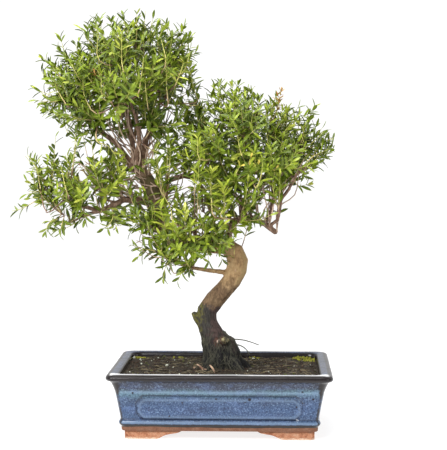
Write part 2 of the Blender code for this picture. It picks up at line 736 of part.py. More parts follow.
def core_leaves(shape, matrix, name, space, generator):
    """Raise leaves from the core's facets, leaning to the spray's tip, broad side outwards."""
    up = Vector((0, 0, 1))
    turn = matrix.to_3x3()
    facets = [face for face in shape.faces if face.normal.z > LOWEST_FACET]
    generator.shuffle(facets)
    for number, face in enumerate(facets[:LEAVES_ON_CORE]):
        normal = face.normal.copy()
        root = face.calc_center_median()
        length = BLADE_LENGTH * generator.uniform(*LENGTH_RANGE)
        lean = (up - normal * normal.z).normalized()
        for attempt in range(BLADE_TRIES):
            swing = generator.uniform(-1, 1) * (SWING[0] + SWING[1] * attempt)
            side = Matrix.Rotation(swing, 3, normal) @ lean
            tilt = math.radians(generator.uniform(*LEAN_RANGE))
            along = normal * math.cos(tilt) + side * math.sin(tilt)
            upper = normal * math.sin(tilt) - side * math.cos(tilt)
            balls = blade_balls(matrix @ (root / MM), turn @ along, length)
            if space.is_free(balls, name):
                break
        else:
            continue
        space.add_all(balls, f"{name} leaf {number}")
        foot = bmesh.ops.extrude_discrete_faces(shape, faces=[face])["faces"][0]
        for vert in foot.verts:
            out = (vert.co - root).normalized()
            vert.co = root + out * PETIOLE_RADIUS * MM + normal * FOOT_RISE * MM
        raise_blade(shape, foot, root, along, upper, length * MM)
    for number, face in enumerate(facets[LEAVES_ON_CORE:]):
        raise_tuft(shape, face, matrix, f"{name} tuft {number}", name, space, generator)


def raise_tuft(shape, face, matrix, tuft, name, space, generator):
    """Draw a facet of the core out into a pointed tuft, or a low one where there is no room."""
    root = face.calc_center_median()
    out = (face.normal + Vector((0, 0, TUFT_LEAN))).normalized()
    height = generator.uniform(*TUFT_RANGE)
    balls = [(matrix @ (root / MM + out * height * part), TUFT_HALF * (1 - part))
             for part in TUFT_PARTS]
    if space.is_free(balls, name):
        space.add_all(balls, tuft)
    else:
        height = TUFT_LOW
    bmesh.ops.poke(shape, faces=[face])["verts"][0].co = root + out * height * MM


def square_shoot():
    """An upright square shoot, with the side faces at each node that bear a pair of leaves."""
    shape = bmesh.new()
    base = bmesh.ops.create_circle(shape, cap_ends=True, segments=4, radius=SHOOT_RADIUS * MM)
    top = base["verts"][0].link_faces[0]
    grown = bmesh.ops.extrude_face_region(shape, geom=[top], use_keep_orig=True)
    top = [item for item in grown["geom"] if isinstance(item, bmesh.types.BMFace)][0]
    height = CORE_RADIUS + SHOOT_RISE
    bmesh.ops.translate(shape, verts=top.verts, vec=Vector((0, 0, height * MM)))
    bearing = []
    for index, angle in enumerate(NODE_ANGLES):
        before = set(shape.faces)
        top = bmesh.ops.extrude_discrete_faces(shape, faces=[top])["faces"][0]
        height += NODE_LENGTH
        for vert in top.verts:
            vert.co.z = height * MM
        sides = [face for face in shape.faces if face not in before and face is not top]
        bmesh.ops.recalc_face_normals(shape, faces=shape.faces)
        first = max(sides, key=lambda face: face.normal.x + 0.1 * face.normal.y)
        for face in sides:
            if (abs(face.normal.dot(first.normal)) > 0.5) == (index == 0):
                bearing.append((face, angle, face.normal.copy()))
    return shape, bearing


def leafy_shoot(matrix, owner, space, generator):
    """A shoot with two crossed pairs of leaves, as far as there is room."""
    shape, bearing = square_shoot()
    turn = matrix.to_3x3()
    up = Vector((0, 0, 1))
    for number, (face, angle, out) in enumerate(bearing):
        length = BLADE_LENGTH * generator.uniform(*LENGTH_RANGE)
        spread = math.radians(angle + generator.uniform(-NODE_SPREAD, NODE_SPREAD))
        along = out * math.sin(spread) + up * math.cos(spread)
        upper = up * math.sin(spread) - out * math.cos(spread)
        root = face.calc_center_median()
        balls = blade_balls(matrix @ (root / MM), turn @ along, length)
        if not space.is_free(balls, owner):
            continue
        space.add_all(balls, f"{owner} leaf {number}")
        raise_blade(shape, upper_half(face, along.cross(upper)), root, along, upper, length * MM)
    bmesh.ops.transform(shape, matrix=millimetre_matrix(matrix), verts=shape.verts)
    return shape


def upper_half(face, across):
    """Split a side face of a shoot from corner to corner and give its upper half."""
    corners = sorted(face.verts, key=lambda vert: vert.co.z)
    low = max(corners[:2], key=lambda vert: vert.co.dot(across))
    high = min(corners[2:], key=lambda vert: vert.co.dot(across))
    half = bmesh.utils.face_split(face, low, high)[0]
    return max((face, half), key=lambda item: item.calc_center_median().z)


def millimetre_matrix(matrix):
    """A placing worked out in mm from the pot's middle, as one of the object's frame."""
    moved = matrix.copy()
    moved.translation = place(*matrix.translation)
    return moved


def facing(spot, direction, roll):
    """Place something upright at a spot, along a direction and turned about it."""
    turn = direction.to_track_quat("Z", "Y").to_matrix().to_4x4()
    return Matrix.Translation(spot) @ turn @ Matrix.Rotation(roll, 4, "Z")


def build_spray(parts, leaf, name, spot, axis, space, generator):
    """One leafy spray: a stem on its twig's end, a small core with leaves, and a shoot ahead."""
    matrix = facing(spot, axis, generator.uniform(0, math.pi))
    pieces = make_collection(name + "_pieces")
    foot = spot - axis * (CORE_RADIUS + STEM_LENGTH - TOUCH_GAP / MM)
    tube(name + "_stem", [(*foot, TWIG_RADIUS), (*spot, TWIG_RADIUS)], pieces, sides=4)
    for out in range(1, round(SHOOT_RISE + 2 * NODE_LENGTH), 2):
        space.add(spot + axis * (CORE_RADIUS + out), SHOOT_RADIUS, name)
    make_object("shoot", leafy_shoot(matrix, name, space, generator), pieces)
    core = rough_core(generator)
    core_leaves(core, matrix, name, space, generator)
    bmesh.ops.transform(core, matrix=millimetre_matrix(matrix), verts=core.verts)
    spray = make_object(name, core, parts, leaf)
    combine(spray, "UNION", pieces, solver="MANIFOLD")
    return spray


def build_sprays(parts, leaf, sprays, space, generator):
    """Build every spray, with the cores' room taken first."""
    for name, spot, _ in sprays:
        space.add(spot, CORE_RADIUS, name)
    for name, spot, axis in sprays:
        build_spray(parts, leaf, name, spot, axis, space, generator)


def main():
    """Build every piece."""
    clear_scene()
    generator = random.Random(SEED)
    parts = make_collection("bonsai")
    glaze = make_material("glaze", (0.10, 0.15, 0.30), 0.25)
    plastic = make_material("mesh_plastic", (0.02, 0.02, 0.02), 0.6)
    earth = make_material("soil", (0.035, 0.03, 0.025), 0.95)
    bark = make_material("bark", (0.20, 0.13, 0.07), 0.85)
    leaf = make_material("leaf", (0.12, 0.20, 0.03), 0.45)
    build_pot(parts, glaze)
    for name, side in (("drain_mesh_left", -1), ("drain_mesh_right", 1)):
        build_drain_mesh(parts, name, side, plastic)
    build_soil(parts, earth)
    sprays = spray_places()
    space = Space()
    grown = build_wood(parts, bark, sprays, space)
    build_sprays(parts, leaf, grown, space, generator)


main()
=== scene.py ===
"""Looks of a small-leaved bonsai in a glazed pot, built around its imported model.

Every size is in metres in the frame's own axes: +Z is up and the front faces -Y. MM turns
millimetres into metres.
"""
from __future__ import annotations

import json
import logging
import math
import random
from dataclasses import dataclass, field
from enum import Enum

import bmesh
import bpy
from mathutils import Matrix, Vector, noise
from mathutils.bvhtree import BVHTree
from mathutils.kdtree import KDTree

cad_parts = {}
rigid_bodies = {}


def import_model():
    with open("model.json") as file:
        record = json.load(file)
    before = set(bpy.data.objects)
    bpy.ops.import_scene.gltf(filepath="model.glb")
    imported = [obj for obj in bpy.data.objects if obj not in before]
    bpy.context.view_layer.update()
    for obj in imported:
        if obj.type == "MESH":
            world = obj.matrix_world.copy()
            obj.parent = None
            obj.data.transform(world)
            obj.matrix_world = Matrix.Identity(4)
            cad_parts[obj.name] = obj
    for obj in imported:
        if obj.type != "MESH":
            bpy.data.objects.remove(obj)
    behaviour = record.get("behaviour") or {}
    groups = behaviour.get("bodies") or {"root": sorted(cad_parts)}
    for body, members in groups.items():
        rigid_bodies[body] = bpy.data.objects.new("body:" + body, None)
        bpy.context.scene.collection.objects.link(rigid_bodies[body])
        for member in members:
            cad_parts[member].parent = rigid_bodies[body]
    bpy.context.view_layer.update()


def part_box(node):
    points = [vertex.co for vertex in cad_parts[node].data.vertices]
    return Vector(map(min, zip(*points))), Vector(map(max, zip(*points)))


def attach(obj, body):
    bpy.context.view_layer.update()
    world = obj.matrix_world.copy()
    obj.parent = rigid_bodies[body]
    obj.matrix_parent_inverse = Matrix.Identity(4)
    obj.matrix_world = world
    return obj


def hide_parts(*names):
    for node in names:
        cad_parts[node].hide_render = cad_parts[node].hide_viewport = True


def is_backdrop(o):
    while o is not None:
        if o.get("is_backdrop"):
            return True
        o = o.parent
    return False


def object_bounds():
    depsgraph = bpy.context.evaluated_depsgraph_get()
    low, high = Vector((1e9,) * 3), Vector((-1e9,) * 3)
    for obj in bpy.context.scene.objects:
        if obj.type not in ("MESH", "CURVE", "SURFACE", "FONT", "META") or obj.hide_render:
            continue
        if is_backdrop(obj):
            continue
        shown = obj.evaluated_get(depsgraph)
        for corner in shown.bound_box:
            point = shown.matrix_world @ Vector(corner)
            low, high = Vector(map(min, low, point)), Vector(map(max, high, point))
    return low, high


MM = 0.001
UP = Vector((0.0, 0.0, 1.0))
BODY = "root"
# Place of the photograph's camera, in mm from the pot's middle on the floor
EYE = Vector((63.3, -1641.5, 347.6))
MERGE_DISTANCE = 0.01 * MM
# Turn between one shoot and the next that spreads them evenly
GOLDEN_TURN = 2.39996

log = logging.getLogger("bonsai")


class Slot(Enum):
    """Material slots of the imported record."""

    GLAZE = "glaze"
    PLASTIC = "mesh_plastic"
    SOIL = "soil"
    BARK = "bark"
    LEAF = "leaf"


def tone(red: int, green: int, blue: int) -> tuple[float, float, float, float]:
    """Turn a colour as a screen shows it, 0 to 255, into the linear colour that shaders use.

    Args:
        red: Red as shown.
        green: Green as shown.
        blue: Blue as shown.

    Returns:
        The linear colour with full alpha.
    """
    def linear(value: int) -> float:
        """Undo the screen's curve for one channel."""
        share = value / 255
        return share / 12.92 if share <= 0.04045 else ((share + 0.055) / 1.055) ** 2.4

    return linear(red), linear(green), linear(blue), 1.0


# Shader expressions


@dataclass
class Value:
    """A shader socket that takes part in Python expressions."""

    shader: "Shader"
    socket: bpy.types.NodeSocket

    def _math(self, operation: str, first: "Value | float", second: "Value | float") -> "Value":
        """Add one Math node on two values."""
        settings = {"operation": operation}
        return self.shader.node("ShaderNodeMath", settings, {0: first, 1: second})

    def __add__(self, other: "Value | float") -> "Value":
        """Sum."""
        return self._math("ADD", self, other)

    __radd__ = __add__

    def __sub__(self, other: "Value | float") -> "Value":
        """Difference."""
        return self._math("SUBTRACT", self, other)

    def __rsub__(self, other: "Value | float") -> "Value":
        """Difference from a number."""
        return self._math("SUBTRACT", other, self)

    def __mul__(self, other: "Value | float") -> "Value":
        """Product."""
        return self._math("MULTIPLY", self, other)

    __rmul__ = __mul__

    def __truediv__(self, other: "Value | float") -> "Value":
        """Quotient."""
        return self._math("DIVIDE", self, other)

    def highest(self, other: "Value | float") -> "Value":
        """The larger of two values."""
        return self._math("MAXIMUM", self, other)

    def step(self, low: float, high: float) -> "Value":
        """Rise smoothly from 0 at low to 1 at high, or fall where high is the smaller one.

        Args:
            low: Where the result is 0.
            high: Where the result is 1.

        Returns:
            The eased value.
        """
        settings = {"interpolation_type": "SMOOTHSTEP"}
        if low < high:
            sockets = {0: self, 1: low, 2: high, 3: 0.0, 4: 1.0}
        else:
            sockets = {0: self, 1: high, 2: low, 3: 1.0, 4: 0.0}
        return self.shader.node("ShaderNodeMapRange", settings, sockets)


class Shader:
    """A material's node tree, with one method that makes any node but the first two."""

    def __init__(self, name: str, roughness: float, specular: float = 0.5) -> None:
        """Start a material on one Principled shader.

        Args:
            name: The material's name.
            roughness: Roughness where nothing else feeds it.
            specular: Specular level, the same all over.
        """
        self.material = bpy.data.materials.new(name)
        self.material.use_nodes = True
        self.tree = self.material.node_tree
        self.surface = self.tree.nodes["Principled BSDF"]
        self.surface.inputs["Roughness"].default_value = roughness
        self.surface.inputs["Specular IOR Level"].default_value = specular

    def node(self, kind: str, settings: dict | None = None, sockets: dict | None = None,
             output: int | str = 0) -> Value:
        """Make a node.

        Args:
            kind: The node's type.
            settings: Its settings by name, set first. "stops" gives a ramp's stops.
            sockets: Values or links of its sockets, by name or number.
            output: The output that is wanted.

        Returns:
            The wanted output.
        """
        made = self.tree.nodes.new(kind)
        for name, value in (settings or {}).items():
            if name == "stops":
                self._set_stops(made.color_ramp.elements, value)
            else:
                setattr(made, name, value)
        for name, value in (sockets or {}).items():
            if isinstance(value, Value):
                self.tree.links.new(value.socket, made.inputs[name])
            else:
                made.inputs[name].default_value = value
        return Value(self, made.outputs[output])

    @staticmethod
    def _set_stops(elements: bpy.types.ColorRampElements, stops: list[tuple]) -> None:
        """Give a ramp its stops of (place, colour)."""
        while len(elements) < len(stops):
            elements.new(1.0)
        for element, (place, colour) in zip(elements, stops):
            element.position = place
            element.color = colour

    def feed(self, name: str, value: Value) -> None:
        """Link a value into one of the surface's sockets."""
        self.tree.links.new(value.socket, self.surface.inputs[name])

    def place(self) -> Value:
        """Object coordinates."""
        return self.node("ShaderNodeTexCoord", output="Object")

    def axis(self, name: str) -> Value:
        """One of the Object coordinates, X, Y or Z."""
        return self.node("ShaderNodeSeparateXYZ", sockets={0: self.place()}, output=name)

    def distance(self, point: Vector) -> Value:
        """Distance to a point in Object coordinates."""
        sockets = {0: self.place(), 1: tuple(point)}
        return self.node("ShaderNodeVectorMath", {"operation": "DISTANCE"}, sockets, "Value")

    def attribute(self, name: str) -> Value:
        """A number that the mesh carries."""
        return self.node("ShaderNodeAttribute", {"attribute_name": name}, output="Fac")

    def stretched(self, scale: tuple[float, float, float]) -> Value:
        """Object coordinates, stretched."""
        return self.node("ShaderNodeMapping", sockets={"Vector": self.place(), "Scale": scale})

    def noise(self, size: float, detail: float = 3.0, where: Value | None = None,
              roughness: float = 0.55) -> Value:
        """Smooth noise between 0 and 1.

        Args:
            size: Size of its blotches in metres.
            detail: Number of finer layers.
            where: Coordinates, or None for Object coordinates.
            roughness: Strength of the finer layers.

        Returns:
            The noise.
        """
        sockets = {"Vector": where or self.place(), "Scale": 1.0 / size, "Detail": detail,
                   "Roughness": roughness}
        return self.node("ShaderNodeTexNoise", sockets=sockets)

    def ramp(self, value: Value, stops: list[tuple]) -> Value:
        """Colour ramp on a value."""
        return self.node("ShaderNodeValToRGB", {"stops": stops}, {0: value})

    def blend(self, share: Value | float, first: "Value | tuple", second: "Value | tuple",
              way: str = "MIX") -> Value:
        """Mix two colours.

        Args:
            share: Share of the second colour.
            first: First colour.
            second: Second colour.
            way: Blend type.

        Returns:
            The mixed colour.
        """
        settings = {"data_type": "RGBA", "blend_type": way}
        return self.node("ShaderNodeMix", settings, {0: share, 6: first, 7: second}, output=2)

    def bump(self, height: Value, depth: float) -> None:
        """Raise the surface by a height of 0 to 1 times a depth in metres."""
        sockets = {"Strength": 1.0, "Distance": depth, "Height": height}
        self.feed("Normal", self.node("ShaderNodeBump", sockets=sockets))


# Finishes


@dataclass(frozen=True)
class Glaze:
    """Mottled blue glaze that breaks brown on edges and stops above the bare clay of the base, with
    painted shade inside and in the grooves and painted highlights on the lip and mouldings.
    """

    base: float
    rim: float
    line: float
    panel: tuple = tone(60, 84, 122)
    wall: tuple = tone(60, 80, 108)
    teal: tuple = tone(82, 114, 126)
    haze: tuple = tone(57, 61, 75)
    # Brown of the broken glaze, also used as painted shade on the inside walls and floor.
    edge: tuple = tone(27, 21, 22)
    # Pooled glaze, and painted shade in the grooves and the valley above the base moulding.
    pool: tuple = tone(26, 28, 44)
    # Pale speckles of the glaze, and painted highlights and reflections.
    foam: tuple = tone(150, 176, 204)
    # Painted highlight along the inside of the front lip.
    wear_and_highlight: tuple = tone(236, 234, 232)

    def material(self) -> bpy.types.Material:
        """Build the glaze."""
        shader = Shader("glaze", 0.16, 0.22)
        level = shader.axis("Z")
        wander = shader.noise(26 * MM, 2.0, shader.stretched((0.35, 0.35, 1.0))) - 0.5
        height = (level - self.base) / (self.rim - self.base) + wander * 0.14
        # The teal stop is part glaze tint, part painted reflection on the curve under the lip.
        stops = [(0.0, self.wall), (0.40, self.panel), (0.58, self.wall), (0.68, self.teal),
                 (0.76, self.haze), (1.0, self.haze)]
        colour = shader.ramp(height, stops)
        patches = shader.noise(9 * MM, 3.0, shader.stretched((0.5, 0.5, 1.0))).step(0.42, 0.70)
        colour = shader.blend(patches * 0.4, colour, tone(92, 114, 158))
        fine = shader.noise(1.9 * MM, 3.0, roughness=0.75)
        colour = shader.blend(fine.step(0.52, 0.36) * 0.72, colour, tone(28, 36, 60))
        runs = shader.noise(16 * MM, 4.0, shader.stretched((0.35, 0.35, 1.6)), 0.6)
        colour = shader.blend(runs.step(0.50, 0.32) * 0.4, colour, tone(34, 40, 66))
        # The mark read here is painted light: highlights along the inside of the front lip, on the base
        # moulding and on the panels' raised beads, and a reflection band under the lip. The glaze's
        # pale speckles grow stronger there.
        pale = shader.attribute("foam")
        foam = fine.step(0.53, 0.69) * (0.42 + pale * 0.5)
        lip = level.step(self.rim - 5 * MM, self.rim - 2 * MM)
        colour = shader.blend(foam.highest(pale * 0.62), colour, self.foam)
        # Pooled glaze and painted shade in the panels' grooves and the valley above the base moulding.
        colour = shader.blend(shader.attribute("pool") * 0.92, colour, self.pool)
        # Brown where the glaze breaks on the lip, corners and base, and painted shade on the inside
        # walls and floor.
        rough_edge = (shader.noise(4 * MM, 3.0) - 0.5) * 0.8
        edges = (shader.attribute("edge") + rough_edge).step(0.28, 0.70)
        colour = shader.blend(edges, colour, self.edge)
        # Painted highlight along the inside of the front lip.
        colour = shader.blend(lip * pale * (runs + 0.25), colour, self.wear_and_highlight)
        glazed = (level + wander * 5 * MM).step(self.line - 0.4 * MM, self.line + 0.3 * MM)
        colour = shader.blend(glazed, BareClay().colour(shader), colour)
        shader.feed("Base Color", colour)
        shader.feed("Roughness", 0.85 - glazed * (0.72 - fine * 0.10 - lip * 0.14))
        shader.feed("Coat Weight", glazed * (0.55 - lip * 0.5))
        shader.surface.inputs["Coat Roughness"].default_value = 0.05
        shader.bump(shader.noise(7 * MM, 2.0) * 0.8 + fine * 0.12, 0.5 * MM)
        return shader.material


@dataclass(frozen=True)
class BareClay:
    """Unglazed fired clay with pale scuffs, dark stains and painted shade under the glazed base."""

    clay: tuple = tone(190, 131, 98)
    dark: tuple = tone(140, 86, 63)
    pale: tuple = tone(214, 170, 140)
    wear_and_highlight: tuple = tone(250, 222, 196)

    def colour(self, shader: Shader) -> Value:
        """Mottled colour of the clay, paler where the feet are scuffed at the bottom, with painted
        shade under the glazed base.
        """
        blotch = shader.noise(8 * MM, 5.0, roughness=0.65)
        colour = shader.ramp(blotch, [(0.30, self.dark), (0.47, self.clay), (0.72, self.pale)])
        grit = shader.noise(1.2 * MM, 3.0, roughness=0.75)
        wear_and_highlight = (shader.axis("Z") + (blotch - 0.5) * 8 * MM).step(2.4 * MM, 0.6 * MM)
        colour = shader.blend(wear_and_highlight * 0.7, colour, self.wear_and_highlight)
        # Painted shade on the clay under the glazed base, darker towards the top.
        under_base_shade = (shader.axis("Z") + (blotch - 0.5) * 8 * MM).step(7.5 * MM, 11.5 * MM)
        colour = shader.blend(under_base_shade * 0.7, colour, tone(92, 68, 58))
        shade = shader.ramp(grit, [(0.30, tone(165, 155, 150)), (0.60, tone(255, 255, 255))])
        return shader.blend(0.8, colour, shade, "MULTIPLY")

    def material(self) -> bpy.types.Material:
        """Build the clay."""
        shader = Shader("bare_clay", 0.85, 0.3)
        shader.feed("Base Color", self.colour(shader))
        relief = shader.noise(1.2 * MM, 3.0, roughness=0.75) + shader.noise(8 * MM, 5.0)
        shader.bump(relief, 0.5 * MM)
        return shader.material


@dataclass(frozen=True)
class Earth:
    """Dark fibrous potting soil with a green film in places."""

    dark: tuple = tone(36, 33, 31)
    mid: tuple = tone(66, 59, 50)
    pale: tuple = tone(104, 95, 80)
    green: tuple = tone(78, 80, 44)

    def material(self) -> bpy.types.Material:
        """Build the soil."""
        shader = Shader("soil", 0.95, 0.15)
        crumbs = shader.noise(3.2 * MM, 5.0, roughness=0.7)
        colour = shader.ramp(crumbs, [(0.32, self.dark), (0.55, self.mid), (0.78, self.pale)])
        film = shader.noise(30 * MM, 3.0).step(0.58, 0.78)
        colour = shader.blend(film * 0.4, colour, self.green)
        shader.feed("Base Color", colour)
        shader.bump(crumbs, 1.6 * MM)
        return shader.material


@dataclass(frozen=True)
class Bark:
    """Bark that is charcoal and mossy near the soil and a smooth tan above it."""

    middle: Vector
    cut_end: Vector
    scar: Vector
    burl: Vector
    root: tuple = tone(34, 33, 34)
    wet: tuple = tone(66, 63, 59)
    plum: tuple = tone(88, 71, 67)
    dark: tuple = tone(110, 84, 58)
    tan: tuple = tone(156, 126, 89)
    pale: tuple = tone(194, 165, 122)
    olive: tuple = tone(130, 118, 72)
    shade: tuple = tone(98, 78, 64)
    twig: tuple = tone(142, 114, 96)
    lichen: tuple = tone(188, 162, 140)
    moss: tuple = tone(112, 108, 54)
    wood: tuple = tone(176, 168, 128)
    torn: tuple = tone(206, 184, 166)

    def material(self) -> bpy.types.Material:
        """Build the bark."""
        shader = Shader("bark", 0.8, 0.2)
        level = shader.axis("Z")
        side = shader.axis("X") - self.middle.x
        blotch = shader.noise(15 * MM, 5.0, roughness=0.62)
        fleck = shader.noise(4.5 * MM, 4.0, shader.stretched((1.0, 1.0, 0.7)), 0.65)
        grain = shader.noise(2.4 * MM, 4.0, shader.stretched((1.6, 1.6, 0.34)), 0.65)
        height = level + (blotch - 0.5) * 0.05 + (fleck - 0.5) * 0.012
        lower = self.lower_bark(shader, height, side, blotch)
        tans = shader.ramp(blotch * 0.6 + fleck * 0.4,
                           [(0.34, self.dark), (0.46, self.tan), (0.66, self.pale)])
        olive = (side + (blotch - 0.5) * 0.05).step(16 * MM, 32 * MM) * fleck.step(0.34, 0.56)
        tans = shader.blend(olive * 0.45, tans, self.olive)
        middle = shader.ramp(fleck, [(0.34, tone(61, 49, 40)), (0.62, tone(107, 86, 67))])
        tans = shader.blend(height.step(0.196, 0.172) * 0.75, tans, middle)
        colour = shader.blend(height.step(0.150, 0.158), lower, tans)
        fine = shader.ramp(fleck, [(0.34, self.shade), (0.54, self.twig), (0.74, self.lichen)])
        colour = shader.blend(height.step(0.228, 0.246), colour, fine)
        burl = (shader.distance(self.burl) + (fleck - 0.5) * 12 * MM).step(24 * MM, 12 * MM)
        colour = shader.blend(burl * 0.8, colour, tone(84, 80, 48))
        cut = shader.distance(self.cut_end).step(7.0 * MM, 5.4 * MM)
        tear = shader.distance(self.scar) + (fleck - 0.5) * 7 * MM
        grey = shader.blend(fleck.step(0.54, 0.44) * 0.8, self.wood, tone(78, 68, 50))
        colour = shader.blend(cut, colour, grey)
        colour = shader.blend(tear.step(8.0 * MM, 5.0 * MM) * 0.6, colour, tone(98, 66, 52))
        colour = shader.blend(tear.step(3.8 * MM, 2.6 * MM) * 0.8, colour, self.torn)
        low = height.step(0.175, 0.145)
        shade = shader.ramp(grain, [(0.30, tone(120, 112, 108)), (0.62, tone(255, 255, 255))])
        colour = shader.blend(0.35 + low * 0.5, colour, shade, "MULTIPLY")
        shader.feed("Base Color", colour)
        shader.bump(grain * (0.25 + low * 0.6) + fleck * 0.5 + blotch * 0.5, 1.1 * MM)
        return shader.material

    def lower_bark(self, shader: Shader, height: Value, side: Value, blotch: Value) -> Value:
        """Colour of the lower trunk: black roots, charcoal with a plum side, moss at the left."""
        plum = (side + (blotch - 0.5) * 0.04).step(-16 * MM, -8 * MM)
        colour = shader.blend(plum * 0.8, self.wet, self.plum)
        colour = shader.blend(height.step(0.096, 0.120), self.root, colour)
        left = (side + (blotch - 0.5) * 0.03).step(-20 * MM, -28 * MM)
        film = left * height.step(0.108, 0.122) * height.step(0.170, 0.150)
        film = film * shader.noise(4 * MM, 3.0).step(0.36, 0.58)
        return shader.blend(film * 0.85, colour, self.moss)


@dataclass(frozen=True)
class Leaf:
    """Narrow evergreen leaf. Its tint runs from old and dark over fresh to yellow and bronze."""

    stops: tuple = (
        (0.0, tone(54, 71, 15)), (0.22, tone(87, 108, 22)), (0.46, tone(125, 146, 34)),
        (0.66, tone(166, 182, 56)), (0.80, tone(210, 217, 94)), (0.87, tone(246, 232, 110)),
        (0.93, tone(216, 180, 92)), (1.0, tone(166, 98, 66)),
    )
    rib: tuple = tone(186, 196, 104)

    def material(self) -> bpy.types.Material:
        """Build the leaf."""
        shader = Shader("leaf", 0.42, 0.32)
        colour = shader.ramp(shader.attribute("tint"), list(self.stops))
        patch = shader.noise(6 * MM, 2.0)
        shade = shader.ramp(patch, [(0.30, tone(200, 200, 190)), (0.70, tone(255, 255, 255))])
        colour = shader.blend(1.0, colour, shade, "MULTIPLY")
        rib = shader.attribute("across").step(0.16, 0.04)
        colour = shader.blend(rib * 0.35, colour, self.rib)
        shader.feed("Base Color", colour)
        shader.feed("Roughness", 0.24 + patch * 0.2)
        return shader.material


@dataclass(frozen=True)
class Stem:
    """Young stem: brown where it leaves the wood, cream and then yellow-green at its tip."""

    stops: tuple = (
        (0.0, tone(116, 88, 74)), (0.30, tone(168, 134, 112)), (0.52, tone(226, 202, 158)),
        (0.80, tone(222, 214, 134)), (1.0, tone(190, 198, 96)),
    )

    def material(self) -> bpy.types.Material:
        """Build the stem."""
        shader = Shader("young_stem", 0.6, 0.25)
        colour = shader.ramp(shader.attribute("tint"), list(self.stops))
        blotch = shader.noise(5 * MM, 3.0)
        shade = shader.ramp(blotch, [(0.30, tone(188, 180, 172)), (0.70, tone(255, 255, 255))])
        shader.feed("Base Color", shader.blend(1.0, colour, shade, "MULTIPLY"))
        shader.bump(blotch, 0.2 * MM)
        return shader.material


@dataclass(frozen=True)
class Plain:
    """A matt finish of two tones in soft blotches."""

    name: str
    first: tuple
    second: tuple
    size: float
    roughness: float = 0.8
    relief: float = 0.2 * MM

    def material(self) -> bpy.types.Material:
        """Build the finish."""
        shader = Shader(self.name, self.roughness, 0.3)
        blotch = shader.noise(self.size, 3.0)
        shader.feed("Base Color", shader.ramp(blotch, [(0.3, self.first), (0.7, self.second)]))
        shader.bump(blotch, self.relief)
        return shader.material


# Shared modelling steps


def finish_piece(name: str, shape: bmesh.types.BMesh, materials: list[bpy.types.Material],
                 nodes: tuple[str, ...] = (), smooth: float = 35.0) -> bpy.types.Object:
    """Turn a bmesh into a piece that rides on the part.

    Args:
        name: The piece's name.
        shape: Its mesh, which is freed.
        materials: Its materials, in the order of the faces' indices.
        nodes: The CAD nodes that it stands for.
        smooth: Edges sharper than this many degrees stay sharp.

    Returns:
        The new object.
    """
    return dress_piece(loose_object(name, shape, materials), nodes, smooth)


def dress_piece(piece: bpy.types.Object, nodes: tuple[str, ...] = (),
                smooth: float = 35.0) -> bpy.types.Object:
    """Shade a piece, ride it on the part and report it.

    Args:
        piece: A finished object at the origin.
        nodes: The CAD nodes that it stands for.
        smooth: Edges sharper than this many degrees stay sharp.

    Returns:
        The same object.
    """
    piece.data.shade_smooth()
    piece.data.set_sharp_from_angle(angle=math.radians(smooth))
    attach(piece, BODY)
    if nodes:
        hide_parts(*nodes)
    log.info("%s: %d faces", piece.name, len(piece.data.polygons))
    return piece


def merged_copy(node: str) -> bmesh.types.BMesh:
    """A copy of a CAD node's mesh with its loose triangles joined."""
    shape = bmesh.new()
    shape.from_mesh(bpy.data.objects[node].data)
    bmesh.ops.remove_doubles(shape, verts=shape.verts, dist=MERGE_DISTANCE)
    return shape


def lift_face(shape: bmesh.types.BMesh, face: bmesh.types.BMFace) -> bmesh.types.BMFace:
    """Extrude a mesh's first face, which stays as its closed end, and give the new face."""
    grown = bmesh.ops.extrude_face_region(shape, geom=[face], use_keep_orig=True)
    return [item for item in grown["geom"] if isinstance(item, bmesh.types.BMFace)][0]


def sweep(shape: bmesh.types.BMesh, line: list[Vector], radii: list[float], sides: int,
          index: int = 0) -> list[bmesh.types.BMVert]:
    """Add a closed round tube along a line.

    Args:
        shape: The mesh to add it to.
        line: Points of its middle line.
        radii: Radius at each point.
        sides: Number of sides.
        index: Material index of its faces.

    Returns:
        The tube's vertices.
    """
    tangents = []
    for number, point in enumerate(line):
        before = line[max(number - 1, 0)]
        after = line[min(number + 1, len(line) - 1)]
        tangents.append((after - before).normalized())
    normal = tangents[0].orthogonal().normalized()
    added = []
    top = None
    for number, (point, tangent, radius) in enumerate(zip(line, tangents, radii)):
        normal = (normal - tangent * normal.dot(tangent)).normalized()
        side = tangent.cross(normal)
        places = []
        for step in range(sides):
            turn = 2 * math.pi * step / sides
            places.append(point + (normal * math.cos(turn) + side * math.sin(turn)) * radius)
        if number == 0:
            verts = [shape.verts.new(place) for place in places]
            top = shape.faces.new(verts)
            top.material_index = index
            added += verts
            continue
        if number == 1:
            top = lift_face(shape, top)
        else:
            top = bmesh.ops.extrude_discrete_faces(shape, faces=[top])["faces"][0]
        for vert, place in zip(top.verts, places):
            vert.co = place
        added += list(top.verts)
    return added


def curve_line(points: list[Vector], steps: int) -> list[Vector]:
    """Read a smooth curve through points.

    Args:
        points: Points that it goes through.
        steps: Number of stretches between two of them.

    Returns:
        Points of the curve.
    """
    knots = [points[0] * 2 - points[1]] + points + [points[-1] * 2 - points[-2]]
    line = []
    for index in range(1, len(knots) - 2):
        before, start, end, after = knots[index - 1:index + 3]
        for step in range(steps):
            t = step / steps
            line.append(0.5 * (2 * start + (end - before) * t
                               + (2 * before - 5 * start + 4 * end - after) * t ** 2
                               + (3 * start - before - 3 * end + after) * t ** 3))
    return line + [points[-1].copy()]


def ease(value: float, low: float, high: float) -> float:
    """Rise smoothly from 0 at low to 1 at high."""
    share = min(max((value - low) / (high - low), 0.0), 1.0)
    return share * share * (3 - 2 * share)


